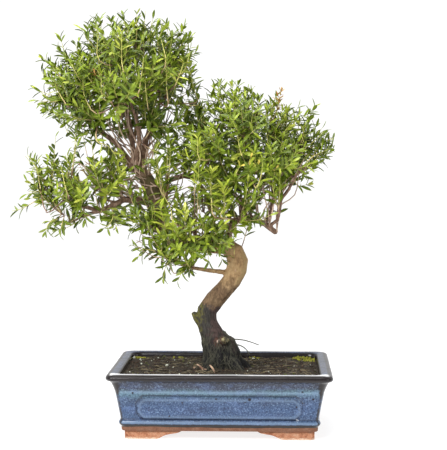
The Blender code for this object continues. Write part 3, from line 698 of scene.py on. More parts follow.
def combine(target: bpy.types.Object, operation: str, others: list[bpy.types.Object]) -> None:
    """Join solids to a target or cut them from it, and remove them.

    Args:
        target: The solid that is kept.
        operation: UNION or DIFFERENCE.
        others: The solids that are used up.
    """
    group = bpy.data.collections.new(target.name + "_" + operation.lower())
    for item in others:
        group.objects.link(item)
    modifier = target.modifiers.new(operation.lower(), "BOOLEAN")
    modifier.operation = operation
    modifier.operand_type = "COLLECTION"
    modifier.collection = group
    modifier.solver = "MANIFOLD"
    graph = bpy.context.evaluated_depsgraph_get()
    solved = bpy.data.meshes.new_from_object(target.evaluated_get(graph))
    target.modifiers.clear()
    target.data = solved
    for item in others:
        bpy.data.objects.remove(item, do_unlink=True)
    bpy.data.collections.remove(group)


def loose_object(name: str, shape: bmesh.types.BMesh,
                 materials: list[bpy.types.Material]) -> bpy.types.Object:
    """Turn a bmesh into an object that isn't a piece yet."""
    mesh = bpy.data.meshes.new(name)
    shape.to_mesh(mesh)
    shape.free()
    for material in materials:
        mesh.materials.append(material)
    item = bpy.data.objects.new(name, mesh)
    bpy.context.scene.collection.objects.link(item)
    return item


# Pot


@dataclass
class Pot:
    """The glazed pot: flared wall with sunk panels, rolled lip, moulded base and bracket feet."""

    centre: Vector
    base_half: tuple[float, float] = (117.5 * MM, 82.5 * MM)
    rim_half: tuple[float, float] = (135.0 * MM, 100.0 * MM)
    feet_height: float = 10.4 * MM
    corner: float = 7.0 * MM
    rim_corner: float = 11.0 * MM
    corner_steps: int = 9
    inner_rings: int = 6
    pitch: float = 1.5 * MM
    ring_pitch: float = 1.3 * MM
    panel_low: float = 24.0 * MM
    panel_high: float = 54.4 * MM
    panel_margin: float = 18.0 * MM
    panel_notch: float = 8.0 * MM
    panel_sunk: float = 1.0 * MM
    groove_depth: float = 0.9 * MM
    drain_radius: float = 8.0 * MM
    drain_offset: float = 62.0 * MM
    drain_depth: float = 50.0 * MM
    foot_thickness: float = 13.0 * MM
    glaze_foot: float = 15.6 * MM
    # Sweep of a foot: share of the way from its inner corner to its end, and height
    foot_sweep: tuple = (
        (0.08, 0.9), (0.16, 2.4), (0.25, 3.9), (0.34, 5.0), (0.46, 5.9), (0.60, 6.6), (0.74, 7.4),
        (0.83, 8.5), (0.90, 10.0), (0.95, 12.0), (1.0, 14.2))
    # Wall from the underside up: distance out from the base, and height
    wall: tuple = ((-0.6, 10.4), (0.0, 11.4), (0.3, 15.6), (1.6, 17.2), (2.8, 18.6), (3.3, 20.2),
                   (3.0, 21.8), (1.9, 23.2), (1.2, 24.6), (1.4, 26.5), (4.0, 42.0), (7.1, 58.0),
                   (9.6, 65.0), (11.7, 69.4), (13.6, 71.6))
    # Lip and inside: distance in from the rim, and height
    lip: tuple = ((1.3, 72.5), (0.4, 73.6), (0.0, 75.0), (0.2, 76.4), (0.9, 77.7), (2.1, 78.8),
                  (3.7, 79.5), (5.6, 79.9), (8.0, 80.0), (10.6, 79.9), (12.6, 79.4), (13.9, 78.4),
                  (14.6, 77.0), (15.0, 75.0), (19.4, 52.0), (24.0, 29.0), (28.0, 25.0))
    # Places on the front where the glaze has popped: x, z and radius
    spots: tuple = ((-102.7, 57.5, 1.3), (-44.0, 45.6, 1.2), (-59.6, 28.6, 1.1), (-3.7, 50.3, 1.3),
                    (36.0, 49.9, 1.9), (98.7, 60.3, 1.5), (111.5, 51.1, 1.5), (99.4, 46.1, 1.1),
                    (91.8, 41.0, 1.2), (30.8, 46.5, 0.9), (-84.0, 36.0, 0.8), (66.0, 62.0, 0.9))

    def build(self) -> bpy.types.Object:
        """Build the pot and put it in the CAD pot's place."""
        glaze = Glaze(self.feet_height, self.rim_height(), self.glaze_foot).material()
        clay = BareClay().material()
        pot = loose_object("glazed_pot", self.body(), [glaze, clay])
        feet = [loose_object("foot", shape, [clay, clay]) for shape in self.feet()]
        combine(feet[0], "UNION", feet[1:])
        combine(pot, "UNION", [feet[0]])
        combine(pot, "DIFFERENCE", [self.drain(side, clay) for side in (-1, 1)])
        self.mark_clay(pot.data)
        self.pinholes()
        return dress_piece(pot, ("pot",), 32.0)

    def pinholes(self) -> None:
        """Dark specks where the front's glaze has popped over iron in the clay."""
        shape = bmesh.new()
        for x, z, radius in self.spots:
            out = self.wall_out(z * MM)
            place = self.centre + Vector((x * MM, -self.base_half[1] - out, z * MM))
            place.y += self.sunk(self.panel_reach(x * MM, -self.base_half[1] - out, z * MM), z * MM)
            size = Matrix.Diagonal((radius * MM, 0.35 * MM, radius * MM, 1.0))
            bmesh.ops.create_icosphere(shape, subdivisions=2, radius=1.0,
                                       matrix=Matrix.Translation(place) @ size)
        speck = Plain("iron_speck", tone(22, 20, 30), tone(44, 38, 50), 1 * MM, 0.35)
        finish_piece("glaze_specks", shape, [speck.material()])

    def wall_out(self, height: float) -> float:
        """How far the wall stands out from the base at a height."""
        for (out, low), (further, high) in zip(self.wall, self.wall[1:]):
            if low * MM <= height <= high * MM:
                share = (height / MM - low) / (high - low)
                return (out + (further - out) * share) * MM
        return 0.0

    def sunk(self, reach: float, height: float) -> float:
        """Depth of a panel at a distance inside its outline and a height."""
        step = self.panel_sunk * ease(reach, -0.6 * MM, 1.4 * MM)
        groove = math.exp(-((reach - 0.9 * MM) / (1.0 * MM)) ** 2)
        bead = math.exp(-((reach - self.bead_in(height)) / (1.6 * MM)) ** 2)
        return step + self.groove_depth * groove - 0.6 * self.groove_depth * bead

    def bead_in(self, height: float) -> float:
        """How far inside a panel's outline its raised bead runs, further in at the top."""
        share = ease(height, self.panel_low, self.panel_high)
        return (3.0 + 3.4 * share) * MM

    def groove_share(self, height: float) -> float:
        """How dark a panel's groove is, as pooled glaze and painted shade: darkest along its foot."""
        foot = ease(-height, -self.panel_low - 5 * MM, -self.panel_low - 1.5 * MM)
        head = 0.3 * ease(height, self.panel_high - 4 * MM, self.panel_high - 1 * MM)
        return 0.45 + max(0.55 * foot, head)

    def rim_height(self) -> float:
        """Height of the rim."""
        return max(height for _, height in self.lip) * MM

    def rings(self) -> list[tuple[float, float, float, float]]:
        """Half length, half width, corner radius and height of each ring.

        Returns:
            The rings from the underside, up the wall, over the lip and down inside.
        """
        wall = curve_line([Vector((out * MM, height * MM, 0)) for out, height in self.wall], 1)
        fine = [wall[0]]
        for before, after in zip(wall, wall[1:]):
            pieces = max(1, round((after - before).length / self.ring_pitch))
            fine += [before.lerp(after, (step + 1) / pieces) for step in range(pieces)]
        rings = []
        for out, height, _ in fine:
            rings.append((self.base_half[0] + out, self.base_half[1] + out,
                          self.corner + out * 0.3, height))
        for inward, height in self.lip:
            rings.append((self.rim_half[0] - inward * MM, self.rim_half[1] - inward * MM,
                          self.rim_corner, height * MM))
        return rings

    def outline(self, half_x: float, half_y: float, radius: float) -> list[tuple[float, float]]:
        """Points of a rounded rectangle, with the same number on every ring."""
        along_x = round(2 * self.base_half[0] / self.pitch)
        along_y = round(2 * self.base_half[1] / self.pitch)
        corners = [(half_x, half_y), (-half_x, half_y), (-half_x, -half_y), (half_x, -half_y)]
        points = []
        for number, (x, y) in enumerate(corners):
            middle = (x - math.copysign(radius, x), y - math.copysign(radius, y))
            for step in range(self.corner_steps + 1):
                turn = math.radians(90) * (number + step / self.corner_steps)
                points.append((middle[0] + radius * math.cos(turn),
                               middle[1] + radius * math.sin(turn)))
            count = along_x if number % 2 == 0 else along_y
            ahead = corners[(number + 1) % 4]
            end = (ahead[0] - math.copysign(radius, ahead[0]) if number % 2 == 0 else ahead[0],
                   ahead[1] - math.copysign(radius, ahead[1]) if number % 2 == 1 else ahead[1])
            start = points[-1]
            for step in range(1, count):
                share = step / count
                points.append((start[0] + (end[0] - start[0]) * share,
                               start[1] + (end[1] - start[1]) * share))
        return points

    def panel_reach(self, x: float, y: float, height: float) -> float:
        """Distance inside a panel's outline, negative outside it."""
        on_long_side = abs(y) / self.base_half[1] > abs(x) / self.base_half[0]
        along = abs(x) if on_long_side else abs(y)
        half = (self.base_half[0] if on_long_side else self.base_half[1]) - self.panel_margin
        middle = (self.panel_low + self.panel_high) / 2
        tall = (self.panel_high - self.panel_low) / 2
        up = abs(height - middle)
        chamfer = (half + tall - self.panel_notch - along - up) / math.sqrt(2)
        return min(half - along, tall - up, chamfer)

    def body(self) -> bmesh.types.BMesh:
        """Walls, rim and floor, with the panels pressed in and marks for broken and pooled glaze,
        painted shade and painted highlights.
        """
        shape = bmesh.new()
        edge_and_shade_mark = shape.verts.layers.float.new("edge")
        pool_and_shade_mark = shape.verts.layers.float.new("pool")
        painted_highlight_mark = shape.verts.layers.float.new("foam")
        top = None
        rings = self.rings()
        inner = len(rings) - self.inner_rings
        for number, (half_x, half_y, radius, height) in enumerate(rings):
            outline = self.outline(half_x, half_y, radius)
            places = [Vector((x, y, height)) for x, y in outline]
            if top is None:
                top = shape.faces.new([shape.verts.new(place) for place in places])
            elif len(shape.faces) == 1:
                top = lift_face(shape, top)
            else:
                top = bmesh.ops.extrude_discrete_faces(shape, faces=[top])["faces"][0]
            for vert, place in zip(top.verts, places):
                vert.co = place
                # The inside walls and floor get the full mark as painted shade; elsewhere it is where
                # the glaze breaks brown.
                vert[edge_and_shade_mark] = 1.0 if number >= inner else self.edge_share(place)
                if number < inner:
                    # Painted highlights and a painted reflection band on the lip, under it and on the
                    # base moulding.
                    vert[painted_highlight_mark] = self.foam_share(place)
                    # Pooled glaze and painted shade in the valley above the base moulding.
                    vert[pool_and_shade_mark] = 0.6 * math.exp(-((place.z - 24.7 * MM) / (1.1 * MM)) ** 2)
        shape.normal_update()
        outside = [vert for vert in shape.verts if self.is_wall(vert.co)]
        for vert in outside:
            reach = self.panel_reach(vert.co.x, vert.co.y, vert.co.z)
            out = Vector((vert.normal.x, vert.normal.y, 0)).normalized()
            inset = self.bead_in(vert.co.z)
            vert.co -= out * self.sunk(reach, vert.co.z)
            groove = math.exp(-((reach - 0.6 * MM) / (1.3 * MM)) ** 2)
            bead = math.exp(-((reach - inset) / (1.5 * MM)) ** 2)
            # Pooled glaze and painted shade in the panel's groove.
            vert[pool_and_shade_mark] = max(vert[pool_and_shade_mark], groove * self.groove_share(vert.co.z))
            # Painted highlight along the panel's raised bead.
            vert[painted_highlight_mark] = max(vert[painted_highlight_mark], 0.38 * bead)
        for vert in shape.verts:
            wobble = noise.noise(vert.co * 22) * 0.5 + noise.noise(vert.co * 70) * 0.25
            if vert.co.z > self.glaze_foot:
                vert.co += vert.normal * wobble * 0.5 * MM
        bmesh.ops.translate(shape, verts=shape.verts, vec=self.centre)
        bmesh.ops.recalc_face_normals(shape, faces=shape.faces)
        return shape

    def is_wall(self, place: Vector) -> bool:
        """Whether a point is on the outer wall, between the base and the lip."""
        beyond_x = abs(place.x) > self.base_half[0]
        beyond_y = abs(place.y) > self.base_half[1]
        return 23.6 * MM < place.z < 62 * MM and (beyond_x or beyond_y)

    def edge_share(self, place: Vector) -> float:
        """How much the glaze breaks brown at a point: on the lip, the corners and the base."""
        beyond = max(abs(place.x) - self.rim_half[0], abs(place.y) - self.rim_half[1])
        lip = ease(place.z, 71.6 * MM, 74.6 * MM) * ease(beyond, -8.5 * MM, -3.5 * MM)
        below = 0.55 * ease(place.z, 64.0 * MM, 72.0 * MM) * ease(beyond, -10 * MM, -3.5 * MM)
        foot = 0.95 * ease(-place.z, -19.2 * MM, -18.2 * MM)
        return max(lip, below, foot, self.corner_share(place))

    def corner_share(self, place: Vector) -> float:
        """How much the glaze breaks brown along the pot's upright corners."""
        if not self.feet_height < place.z < 74 * MM:
            return 0.0
        out = self.wall_out(place.z)
        corner = Vector((self.base_half[0] + out, self.base_half[1] + out))
        away = (Vector((abs(place.x), abs(place.y))) - corner).length
        wide = (2.7 + 6.0 * ease(place.z, 50 * MM, 74 * MM)) * MM
        return ease(-away, -2.4 * wide, -0.6 * wide) * 0.86

    def foam_share(self, place: Vector) -> float:
        """How strong the painted highlight is at a point: along the inside of the front lip, in a
        painted reflection band under the lip and on top of the base moulding.
        """
        beyond = max(abs(place.x) - self.rim_half[0], abs(place.y) - self.rim_half[1])
        if place.z > 78 * MM:
            return ease(-beyond, 4.5 * MM, 6.5 * MM) if place.y < -84 * MM else 0.0
        if beyond > -3 * MM or place.z > 70 * MM:
            return 0.0
        band = 0.55 * math.exp(-((place.z - 58.2 * MM) / (1.7 * MM)) ** 2)
        base = 0.8 * math.exp(-((place.z - 21.0 * MM) / (1.2 * MM)) ** 2)
        return max(band, base)

    def feet(self) -> list[bmesh.types.BMesh]:
        """The eight plates of the four bracket feet."""
        shapes = []
        face_x = self.base_half[0] - 4.0 * MM
        face_y = self.base_half[1] - 3.5 * MM
        for sign_x in (1, -1):
            for sign_y in (1, -1):
                front = self.foot_profile(110.0 * MM, 75.0 * MM, 42.0 * MM)
                outline = [Vector((sign_x * x, sign_y * face_y, z)) for x, z in front]
                push = Vector((0, -sign_y * self.foot_thickness, 0))
                shapes.append(self.plate(outline, push))
                side = self.foot_profile(76.5 * MM, 50.0 * MM, 28.0 * MM)
                outline = [Vector((sign_x * face_x, sign_y * y, z)) for y, z in side]
                push = Vector((-sign_x * self.foot_thickness, 0, 0))
                shapes.append(self.plate(outline, push))
        return shapes

    def foot_profile(self, outer: float, inner: float, end: float) -> list[tuple[float, float]]:
        """Side view of a foot with its cloud-shaped sweep."""
        top = self.feet_height + 1.0 * MM
        points = [(outer + 3.5 * MM, top), (outer + 2.2 * MM, 10.0 * MM),
                  (outer + 1.3 * MM, 5.0 * MM), (outer, 0.0), (inner, 0.0)]
        for share, height in self.foot_sweep:
            points.append((inner + (end - inner) * share, height * MM))
        return points + [(end, top)]

    def plate(self, outline: list[Vector], push: Vector) -> bmesh.types.BMesh:
        """A plate from its outline and its thickness."""
        shape = bmesh.new()
        face = shape.faces.new([shape.verts.new(point) for point in outline])
        pushed = bmesh.ops.extrude_face_region(shape, geom=[face], use_keep_orig=True)
        moved = [item for item in pushed["geom"] if isinstance(item, bmesh.types.BMVert)]
        bmesh.ops.translate(shape, verts=moved, vec=push)
        bmesh.ops.recalc_face_normals(shape, faces=shape.faces)
        bmesh.ops.translate(shape, verts=shape.verts, vec=self.centre)
        return shape

    def drain(self, side: int, clay: bpy.types.Material) -> bpy.types.Object:
        """A round cutter for a drainage hole."""
        shape = bmesh.new()
        bmesh.ops.create_cone(shape, cap_ends=True, segments=40, radius1=self.drain_radius,
                              radius2=self.drain_radius, depth=self.drain_depth)
        away = self.centre + Vector((side * self.drain_offset, 0, self.drain_depth / 2))
        bmesh.ops.translate(shape, verts=shape.verts, vec=away)
        return loose_object("drain", shape, [clay, clay])

    def mark_clay(self, mesh: bpy.types.Mesh) -> None:
        """Give the feet and the underside the bare clay."""
        for face in mesh.polygons:
            face.material_index = 1 if face.center.z < self.feet_height + 0.2 * MM else 0


@dataclass
class DrainMesh:
    """A square of drainage mesh over one hole, with its finer grid."""

    node: str
    bars: int = 9
    bar: float = 0.8 * MM
    # Share of the square's height that the bars along x and along y take
    heights: tuple[float, float] = (0.7, 0.9)

    def build(self, plastic: bpy.types.Material) -> bpy.types.Object:
        """Build the grid of bars in the CAD square's box."""
        low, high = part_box(self.node)
        shape = bmesh.new()
        for number in range(self.bars):
            share = number / (self.bars - 1)
            for axis in (0, 1):
                size = high - low
                middle = (low + high) / 2
                size[axis] = self.bar
                middle[axis] = low[axis] + self.bar / 2 + (high[axis] - low[axis] - self.bar) * share
                size.z *= self.heights[axis]
                placing = Matrix.Translation(middle) @ Matrix.Diagonal((*size, 1.0))
                bmesh.ops.create_cube(shape, size=1.0, matrix=placing)
        return finish_piece(self.node + "_grid", shape, [plastic], (self.node,))


# Soil


@dataclass
class Soil:
    """The soil with its crumbs, and the small things that lie on it."""

    centre: Vector
    trunk: Vector
    level: float = 73.0 * MM
    mound: float = 8.0 * MM
    mound_reach: float = 34.0 * MM
    half: tuple[float, float] = (119.4 * MM, 84.4 * MM)
    foot_half: tuple[float, float] = (106.7 * MM, 71.7 * MM)
    foot: float = 25.3 * MM
    squareness: float = 14.0
    rings: int = 46
    spokes: int = 200
    crumb_count: int = 1600
    grain_count: int = 40
    straw_count: int = 260
    # Larger white grains: x, y and size in mm
    large_grains: tuple = (
        (-117, 66, 2.6), (-108, 58, 1.7), (-70, 12, 2.4), (-104, 30, 1.5), (-86, 70, 1.3),
        (38, 70, 2.0), (74, 60, 1.4), (20, -60, 1.3), (60, -40, 1.2), (-50, -50, 1.3))
    # Husks: x, y and length in mm, turn in degrees and lean in radians
    husk_rows: tuple = (
        (-10, -50, 11.0, 78, 0.95), (-18, -42, 7.0, 130, 0.5), (-24, -34, 7.0, 60, 0.7),
        (-27, -24, 8.0, 100, 0.6), (-22, -28, 6.0, 170, 0.3), (-33, -22, 6.0, 200, 0.4))
    # Moss: x, y and reach in mm, and number of tufts
    moss_patches: tuple = (
        (106, 72, 13, 90), (112, 60, 7, 30), (-112, 74, 10, 36), (96, 77, 8, 26), (-98, -66, 8, 22),
        (40, 78, 8, 20), (-60, 76, 7, 16), (88, -70, 8, 18))
    seed: int = 5

    def __post_init__(self) -> None:
        """Seed the random draws."""
        self.random = random.Random(self.seed)

    def build(self) -> None:
        """Build the soil and what lies on it."""
        earth = Earth().material()
        finish_piece("potting_soil", self.bed(), [earth], ("soil",), 60.0)
        crumbs = [earth, Plain("bark_crumb", tone(40, 32, 27), tone(78, 60, 46), 2 * MM).material(),
                  Plain("grey_crumb", tone(70, 68, 62), tone(108, 104, 92), 2 * MM).material(),
                  Plain("mossy_crumb", tone(62, 68, 30), tone(98, 102, 48), 2 * MM).material()]
        finish_piece("soil_crumbs", self.crumbs(), crumbs, smooth=50.0)
        perlite = Plain("perlite", tone(196, 200, 178), tone(238, 240, 226), 1.5 * MM)
        finish_piece("perlite_grains", self.grains(), [perlite.material()], smooth=50.0)
        husk = Plain("husk", tone(120, 74, 54), tone(240, 208, 178), 6 * MM, 0.6)
        finish_piece("dry_husks", self.husks(), [husk.material()])
        straw = Plain("straw", tone(58, 50, 42), tone(150, 136, 106), 9 * MM, 0.7)
        finish_piece("straws", self.straws(), [straw.material()])
        moss = Plain("moss", tone(96, 104, 26), tone(166, 160, 62), 2.5 * MM, 0.9, 0.6 * MM)
        finish_piece("moss_tufts", self.moss(), [moss.material()], smooth=60.0)

    def height(self, x: float, y: float) -> float:
        """Height of the soil's surface at a place from the pot's middle."""
        away = math.hypot(x - self.trunk.x, y - self.trunk.y)
        mound = self.mound * math.exp(-(away / self.mound_reach) ** 2)
        spot = Vector((x, y, 0)) / MM
        lumps = noise.noise(spot * 0.055) * 1.6 + noise.noise(spot * 0.16) * 1.0
        crumbs = noise.noise(spot * 0.45) * 0.7 + noise.noise(spot * 1.1) * 0.35
        return self.level + mound + (lumps + crumbs) * MM

    def spot(self, ring: float, spoke: float, half: tuple[float, float]) -> tuple[float, float]:
        """A place on a rounded rectangle, from its share of the way out and its direction."""
        turn = 2 * math.pi * spoke
        power = self.squareness
        size = abs(math.cos(turn) / half[0]) ** power + abs(math.sin(turn) / half[1]) ** power
        reach = size ** (-1 / power)
        return ring * reach * math.cos(turn), ring * reach * math.sin(turn)

    def bed(self) -> bmesh.types.BMesh:
        """The bed of soil as one closed solid."""
        shape = bmesh.new()
        outline = [(self.foot_half, self.foot), (self.half, self.level - 2 * MM)]
        top = None
        for half, height in outline:
            places = [Vector((*self.spot(1.0, step / self.spokes, half), height))
                      for step in range(self.spokes)]
            if top is None:
                top = lift_face(shape, shape.faces.new([shape.verts.new(place)
                                                        for place in places]))
            for vert, place in zip(top.verts, places):
                vert.co = place
        for ring in range(self.rings, 0, -1):
            share = ring / self.rings
            if ring < self.rings:
                inset = bmesh.ops.extrude_discrete_faces(shape, faces=[top])
                top = inset["faces"][0]
            for step, vert in enumerate(top.verts):
                x, y = self.spot(share, step / self.spokes, self.half)
                vert.co = Vector((x, y, self.height(x, y)))
        hub = bmesh.ops.poke(shape, faces=[top])["verts"][0]
        hub.co.z = self.height(hub.co.x, hub.co.y)
        bmesh.ops.translate(shape, verts=shape.verts, vec=self.centre)
        bmesh.ops.recalc_face_normals(shape, faces=shape.faces)
        return shape

    def free_spot(self, margin: float = 3.0 * MM, bare: float = 0.0) -> Vector:
        """A random place on the soil, from the pot's middle."""
        while True:
            x = self.random.uniform(-1, 1) * (self.half[0] - margin)
            y = self.random.uniform(-1, 1) * (self.half[1] - margin)
            if math.hypot(x - self.trunk.x, y - self.trunk.y) > bare:
                return Vector((x, y, self.height(x, y)))

    def lump(self, shape: bmesh.types.BMesh, spot: Vector, size: Vector, index: int = 0,
             rough: float = 0.3) -> None:
        """Add a rough faceted lump on the soil."""
        turn = Matrix.Rotation(self.random.uniform(0, math.tau), 4, "Z")
        tilt = Matrix.Rotation(self.random.uniform(-0.5, 0.5), 4, "X")
        placing = Matrix.Translation(self.centre + spot) @ turn @ tilt
        made = bmesh.ops.create_icosphere(shape, subdivisions=1, radius=1.0)
        for vert in made["verts"]:
            vert.co *= 1 - self.random.uniform(0, rough)
            vert.co = placing @ Vector((vert.co.x * size.x, vert.co.y * size.y, vert.co.z * size.z))
            for face in vert.link_faces:
                face.material_index = index

    def crumbs(self) -> bmesh.types.BMesh:
        """Crumbs of soil, bark and grit all over the surface."""
        shape = bmesh.new()
        for _ in range(self.crumb_count):
            spot = self.free_spot(2.5 * MM)
            size = self.random.uniform(0.5, 1.0) ** 2 * 2.3 * MM
            form = Vector((size * self.random.uniform(0.8, 1.7), size, size * 0.7))
            index = self.random.choices((0, 1, 2, 3), (6, 4, 1.5, 0.8))[0]
            self.lump(shape, spot + UP * size * 0.3, form, index)
        return shape

    def grains(self) -> bmesh.types.BMesh:
        """White grains: a few larger ones at the left, small ones anywhere."""
        shape = bmesh.new()
        spots = [(Vector((x * MM, y * MM, 0)), size * MM) for x, y, size in self.large_grains]
        spots += [(self.free_spot(5 * MM), self.random.uniform(0.6, 1.1) * MM)
                  for _ in range(self.grain_count)]
        for spot, size in spots:
            place = Vector((spot.x, spot.y, self.height(spot.x, spot.y) + size * 0.5))
            self.lump(shape, place, Vector((size * 1.1, size, size * 0.8)), 0, 0.25)
        return shape

    def husks(self) -> bmesh.types.BMesh:
        """Curled dry husks near the trunk's front left."""
        shape = bmesh.new()
        for x, y, length, turn, lean in self.husk_rows:
            spot = Vector((x * MM, y * MM, 0))
            rise = 0.5 * length * math.sin(lean) * MM
            spot.z = self.height(spot.x, spot.y) + rise
            made = bmesh.ops.create_grid(shape, x_segments=3, y_segments=6, size=0.5)
            placing = (Matrix.Translation(self.centre + spot)
                       @ Matrix.Rotation(math.radians(turn), 4, "Z")
                       @ Matrix.Rotation(lean, 4, "X"))
            for vert in made["verts"]:
                along = vert.co.y
                wide = math.cos(along * math.pi * 0.92) * length * 0.42 * MM
                curl = 8 * vert.co.x ** 2 - 3 * along ** 2
                vert.co = placing @ Vector((vert.co.x * wide, along * length * MM, curl * MM * 0.6))
            faces = list({face for vert in made["verts"] for face in vert.link_faces})
            bmesh.ops.solidify(shape, geom=faces, thickness=0.4 * MM)
        bmesh.ops.recalc_face_normals(shape, faces=shape.faces)
        return shape

    def straws(self) -> bmesh.types.BMesh:
        """Fine straws and root threads that lie on the soil."""
        shape = bmesh.new()
        for _ in range(self.straw_count):
            spot = self.free_spot(12 * MM)
            turn = self.random.uniform(0, math.tau)
            length = self.random.uniform(6, 20) * MM
            ahead = Vector((math.cos(turn), math.sin(turn), 0)) * length / 2
            bend = Vector((-ahead.y, ahead.x, 0)) * self.random.uniform(-0.5, 0.5)
            ends = [spot - ahead, spot + bend, spot + ahead]
            for point in ends:
                point.z = self.height(point.x, point.y) + self.random.uniform(0.3, 1.8) * MM
            line = curve_line([self.centre + point for point in ends], 4)
            thick = self.random.uniform(0.18, 0.38) * MM
            sweep(shape, line, [thick] * len(line), 5)
        bmesh.ops.recalc_face_normals(shape, faces=shape.faces)
        return shape

    def moss(self) -> bmesh.types.BMesh:
        """Cushions of moss at the back right corner and, thinner, at the left."""
        shape = bmesh.new()
        for x, y, reach, count in self.moss_patches:
            for _ in range(count):
                turn = self.random.uniform(0, math.tau)
                away = reach * math.sqrt(self.random.random())
                spot = Vector(((x + away * math.cos(turn)) * MM, (y + away * math.sin(turn)) * MM, 0))
                spot.x = min(max(spot.x, -self.half[0] + 2 * MM), self.half[0] - 2 * MM)
                spot.y = min(max(spot.y, -self.half[1] + 2 * MM), self.half[1] - 2 * MM)
                size = self.random.uniform(0.9, 1.8) * MM
                rise = (1 - away / reach) * 1.6 * MM
                spot.z = self.height(spot.x, spot.y) + rise * 0.6
                self.lump(shape, spot, Vector((size, size, size * 1.3)), 0, 0.35)
        return shape


# Wood


@dataclass
class Wood:
    """The trunk, roots, limbs and twigs, refined from the CAD node."""

    centre: Vector
    voxel: float = 1.15 * MM
    thread_count: int = 210
    # Places in mm from the pot's middle
    stub_end: tuple = (6, -33, 113)
    torn_place: tuple = (-3, -31, 111)
    burl_place: tuple = (-89, 6, 300)
    wires: tuple = (
        ((10, -30, 114), (26, -34, 113.5), (37, -36, 111), (46.5, -36, 107.5)),
        ((18, -22, 106), (25, -34, 106), (31, -36, 102), (35.5, -36, 95)),
        ((-2, -34, 82), (8, -44, 86), (13, -50, 80)),
        ((-20, -34, 84), (-30, -40, 88), (-38, -46, 80)))
    seed: int = 8

    def build(self) -> None:
        """Build the bark surface, the root threads and the wiry roots."""
        bark = Bark(self.centre, self.spot(*self.stub_end), self.spot(*self.torn_place),
                    self.spot(*self.burl_place)).material()
        finish_piece("bark_wood", self.bark_surface(), [bark], ("trunk",), 70.0)
        thread = Plain("root_thread", tone(28, 30, 28), tone(84, 82, 68), 9 * MM).material()
        finish_piece("root_threads", self.threads(), [thread], smooth=60.0)

    def spot(self, x: float, y: float, z: float) -> Vector:
        """A place from millimetres off the pot's middle."""
        return self.centre + Vector((x, y, z)) * MM

    def bark_surface(self) -> bmesh.types.BMesh:
        """The CAD trunk made even and smooth, with ridges, knots and flutes raised on it."""
        rough = loose_object("trunk_copy", merged_copy("trunk"), [])
        remesh = rough.modifiers.new("even", "REMESH")
        remesh.mode = "VOXEL"
        remesh.voxel_size = self.voxel
        smooth = rough.modifiers.new("smooth", "SMOOTH")
        smooth.factor = 0.5
        smooth.iterations = 5
        graph = bpy.context.evaluated_depsgraph_get()
        mesh = bpy.data.meshes.new_from_object(rough.evaluated_get(graph))
        bpy.data.objects.remove(rough, do_unlink=True)
        shape = bmesh.new()
        shape.from_mesh(mesh)
        bpy.data.meshes.remove(mesh)
        shape.normal_update()
        moves = [(vert, vert.normal * (self.relief(vert.co) + self.swelling(vert)))
                 for vert in shape.verts]
        for vert, move in moves:
            vert.co += move
        end = self.spot(*self.stub_end)
        for vert in shape.verts:
            near = ease(9 * MM - (vert.co - end).length, 0.0, 4 * MM)
            vert.co.z -= (vert.co.z - end.z) * 0.32 * near
            vert.co.x += (vert.co.x - end.x) * 0.22 * near
        return shape

    def relief(self, place: Vector) -> float:
        """Height of the bark's ridges at a point."""
        grain = noise.noise(Vector((place.x * 230, place.y * 230, place.z * 60)))
        knots = noise.noise(place * 55)
        root = max(0.0, 1 - abs(place.z - 86 * MM) / (34 * MM))
        thick = 1 if place.z < 0.245 else 0.45
        return ((0.42 + 0.9 * root) * grain + (0.5 + 0.8 * root) * knots) * thick * MM

    @staticmethod
    def swelling(vert: bmesh.types.BMVert) -> float:
        """How much fuller the trunk is on the right of its bend."""
        return 1.7 * MM * max(vert.normal.x, 0.0) * math.exp(-((vert.co.z - 182 * MM) / (24 * MM)) ** 2)

    def threads(self) -> bmesh.types.BMesh:
        """Fine roots that run down over the root crown, and four wiry ones that stand off."""
        shape = bmesh.new()
        generator = random.Random(self.seed)
        skin = BVHTree.FromBMesh(merged_copy("trunk"))
        axis = self.centre + Vector((0, -12, 0)) * MM
        for _ in range(self.thread_count):
            turn = generator.uniform(0, math.tau)
            line = []
            height = generator.uniform(92, 122) * MM
            drift = generator.uniform(-0.07, 0.07)
            while height > 74 * MM:
                turn += drift + generator.uniform(-0.06, 0.06)
                out = Vector((math.cos(turn), math.sin(turn), 0))
                far = axis + out * 70 * MM + UP * height
                hit = skin.ray_cast(far, -out, 70 * MM)[0]
                if hit is None:
                    break
                line.append(hit + out * generator.uniform(-0.1, 0.8) * MM)
                height -= 2.4 * MM
            if len(line) > 3:
                thick = generator.uniform(0.25, 0.6) * MM
                radii = [thick * (1 - 0.5 * number / len(line)) for number in range(len(line))]
                sweep(shape, line, radii, 5)
        for wire in self.wires:
            line = curve_line([self.spot(*point) for point in wire], 5)
            sweep(shape, line, [(0.85 - 0.35 * n / len(line)) * MM for n in range(len(line))], 6)
        bmesh.ops.recalc_face_normals(shape, faces=shape.faces)
        return shape


# Foliage


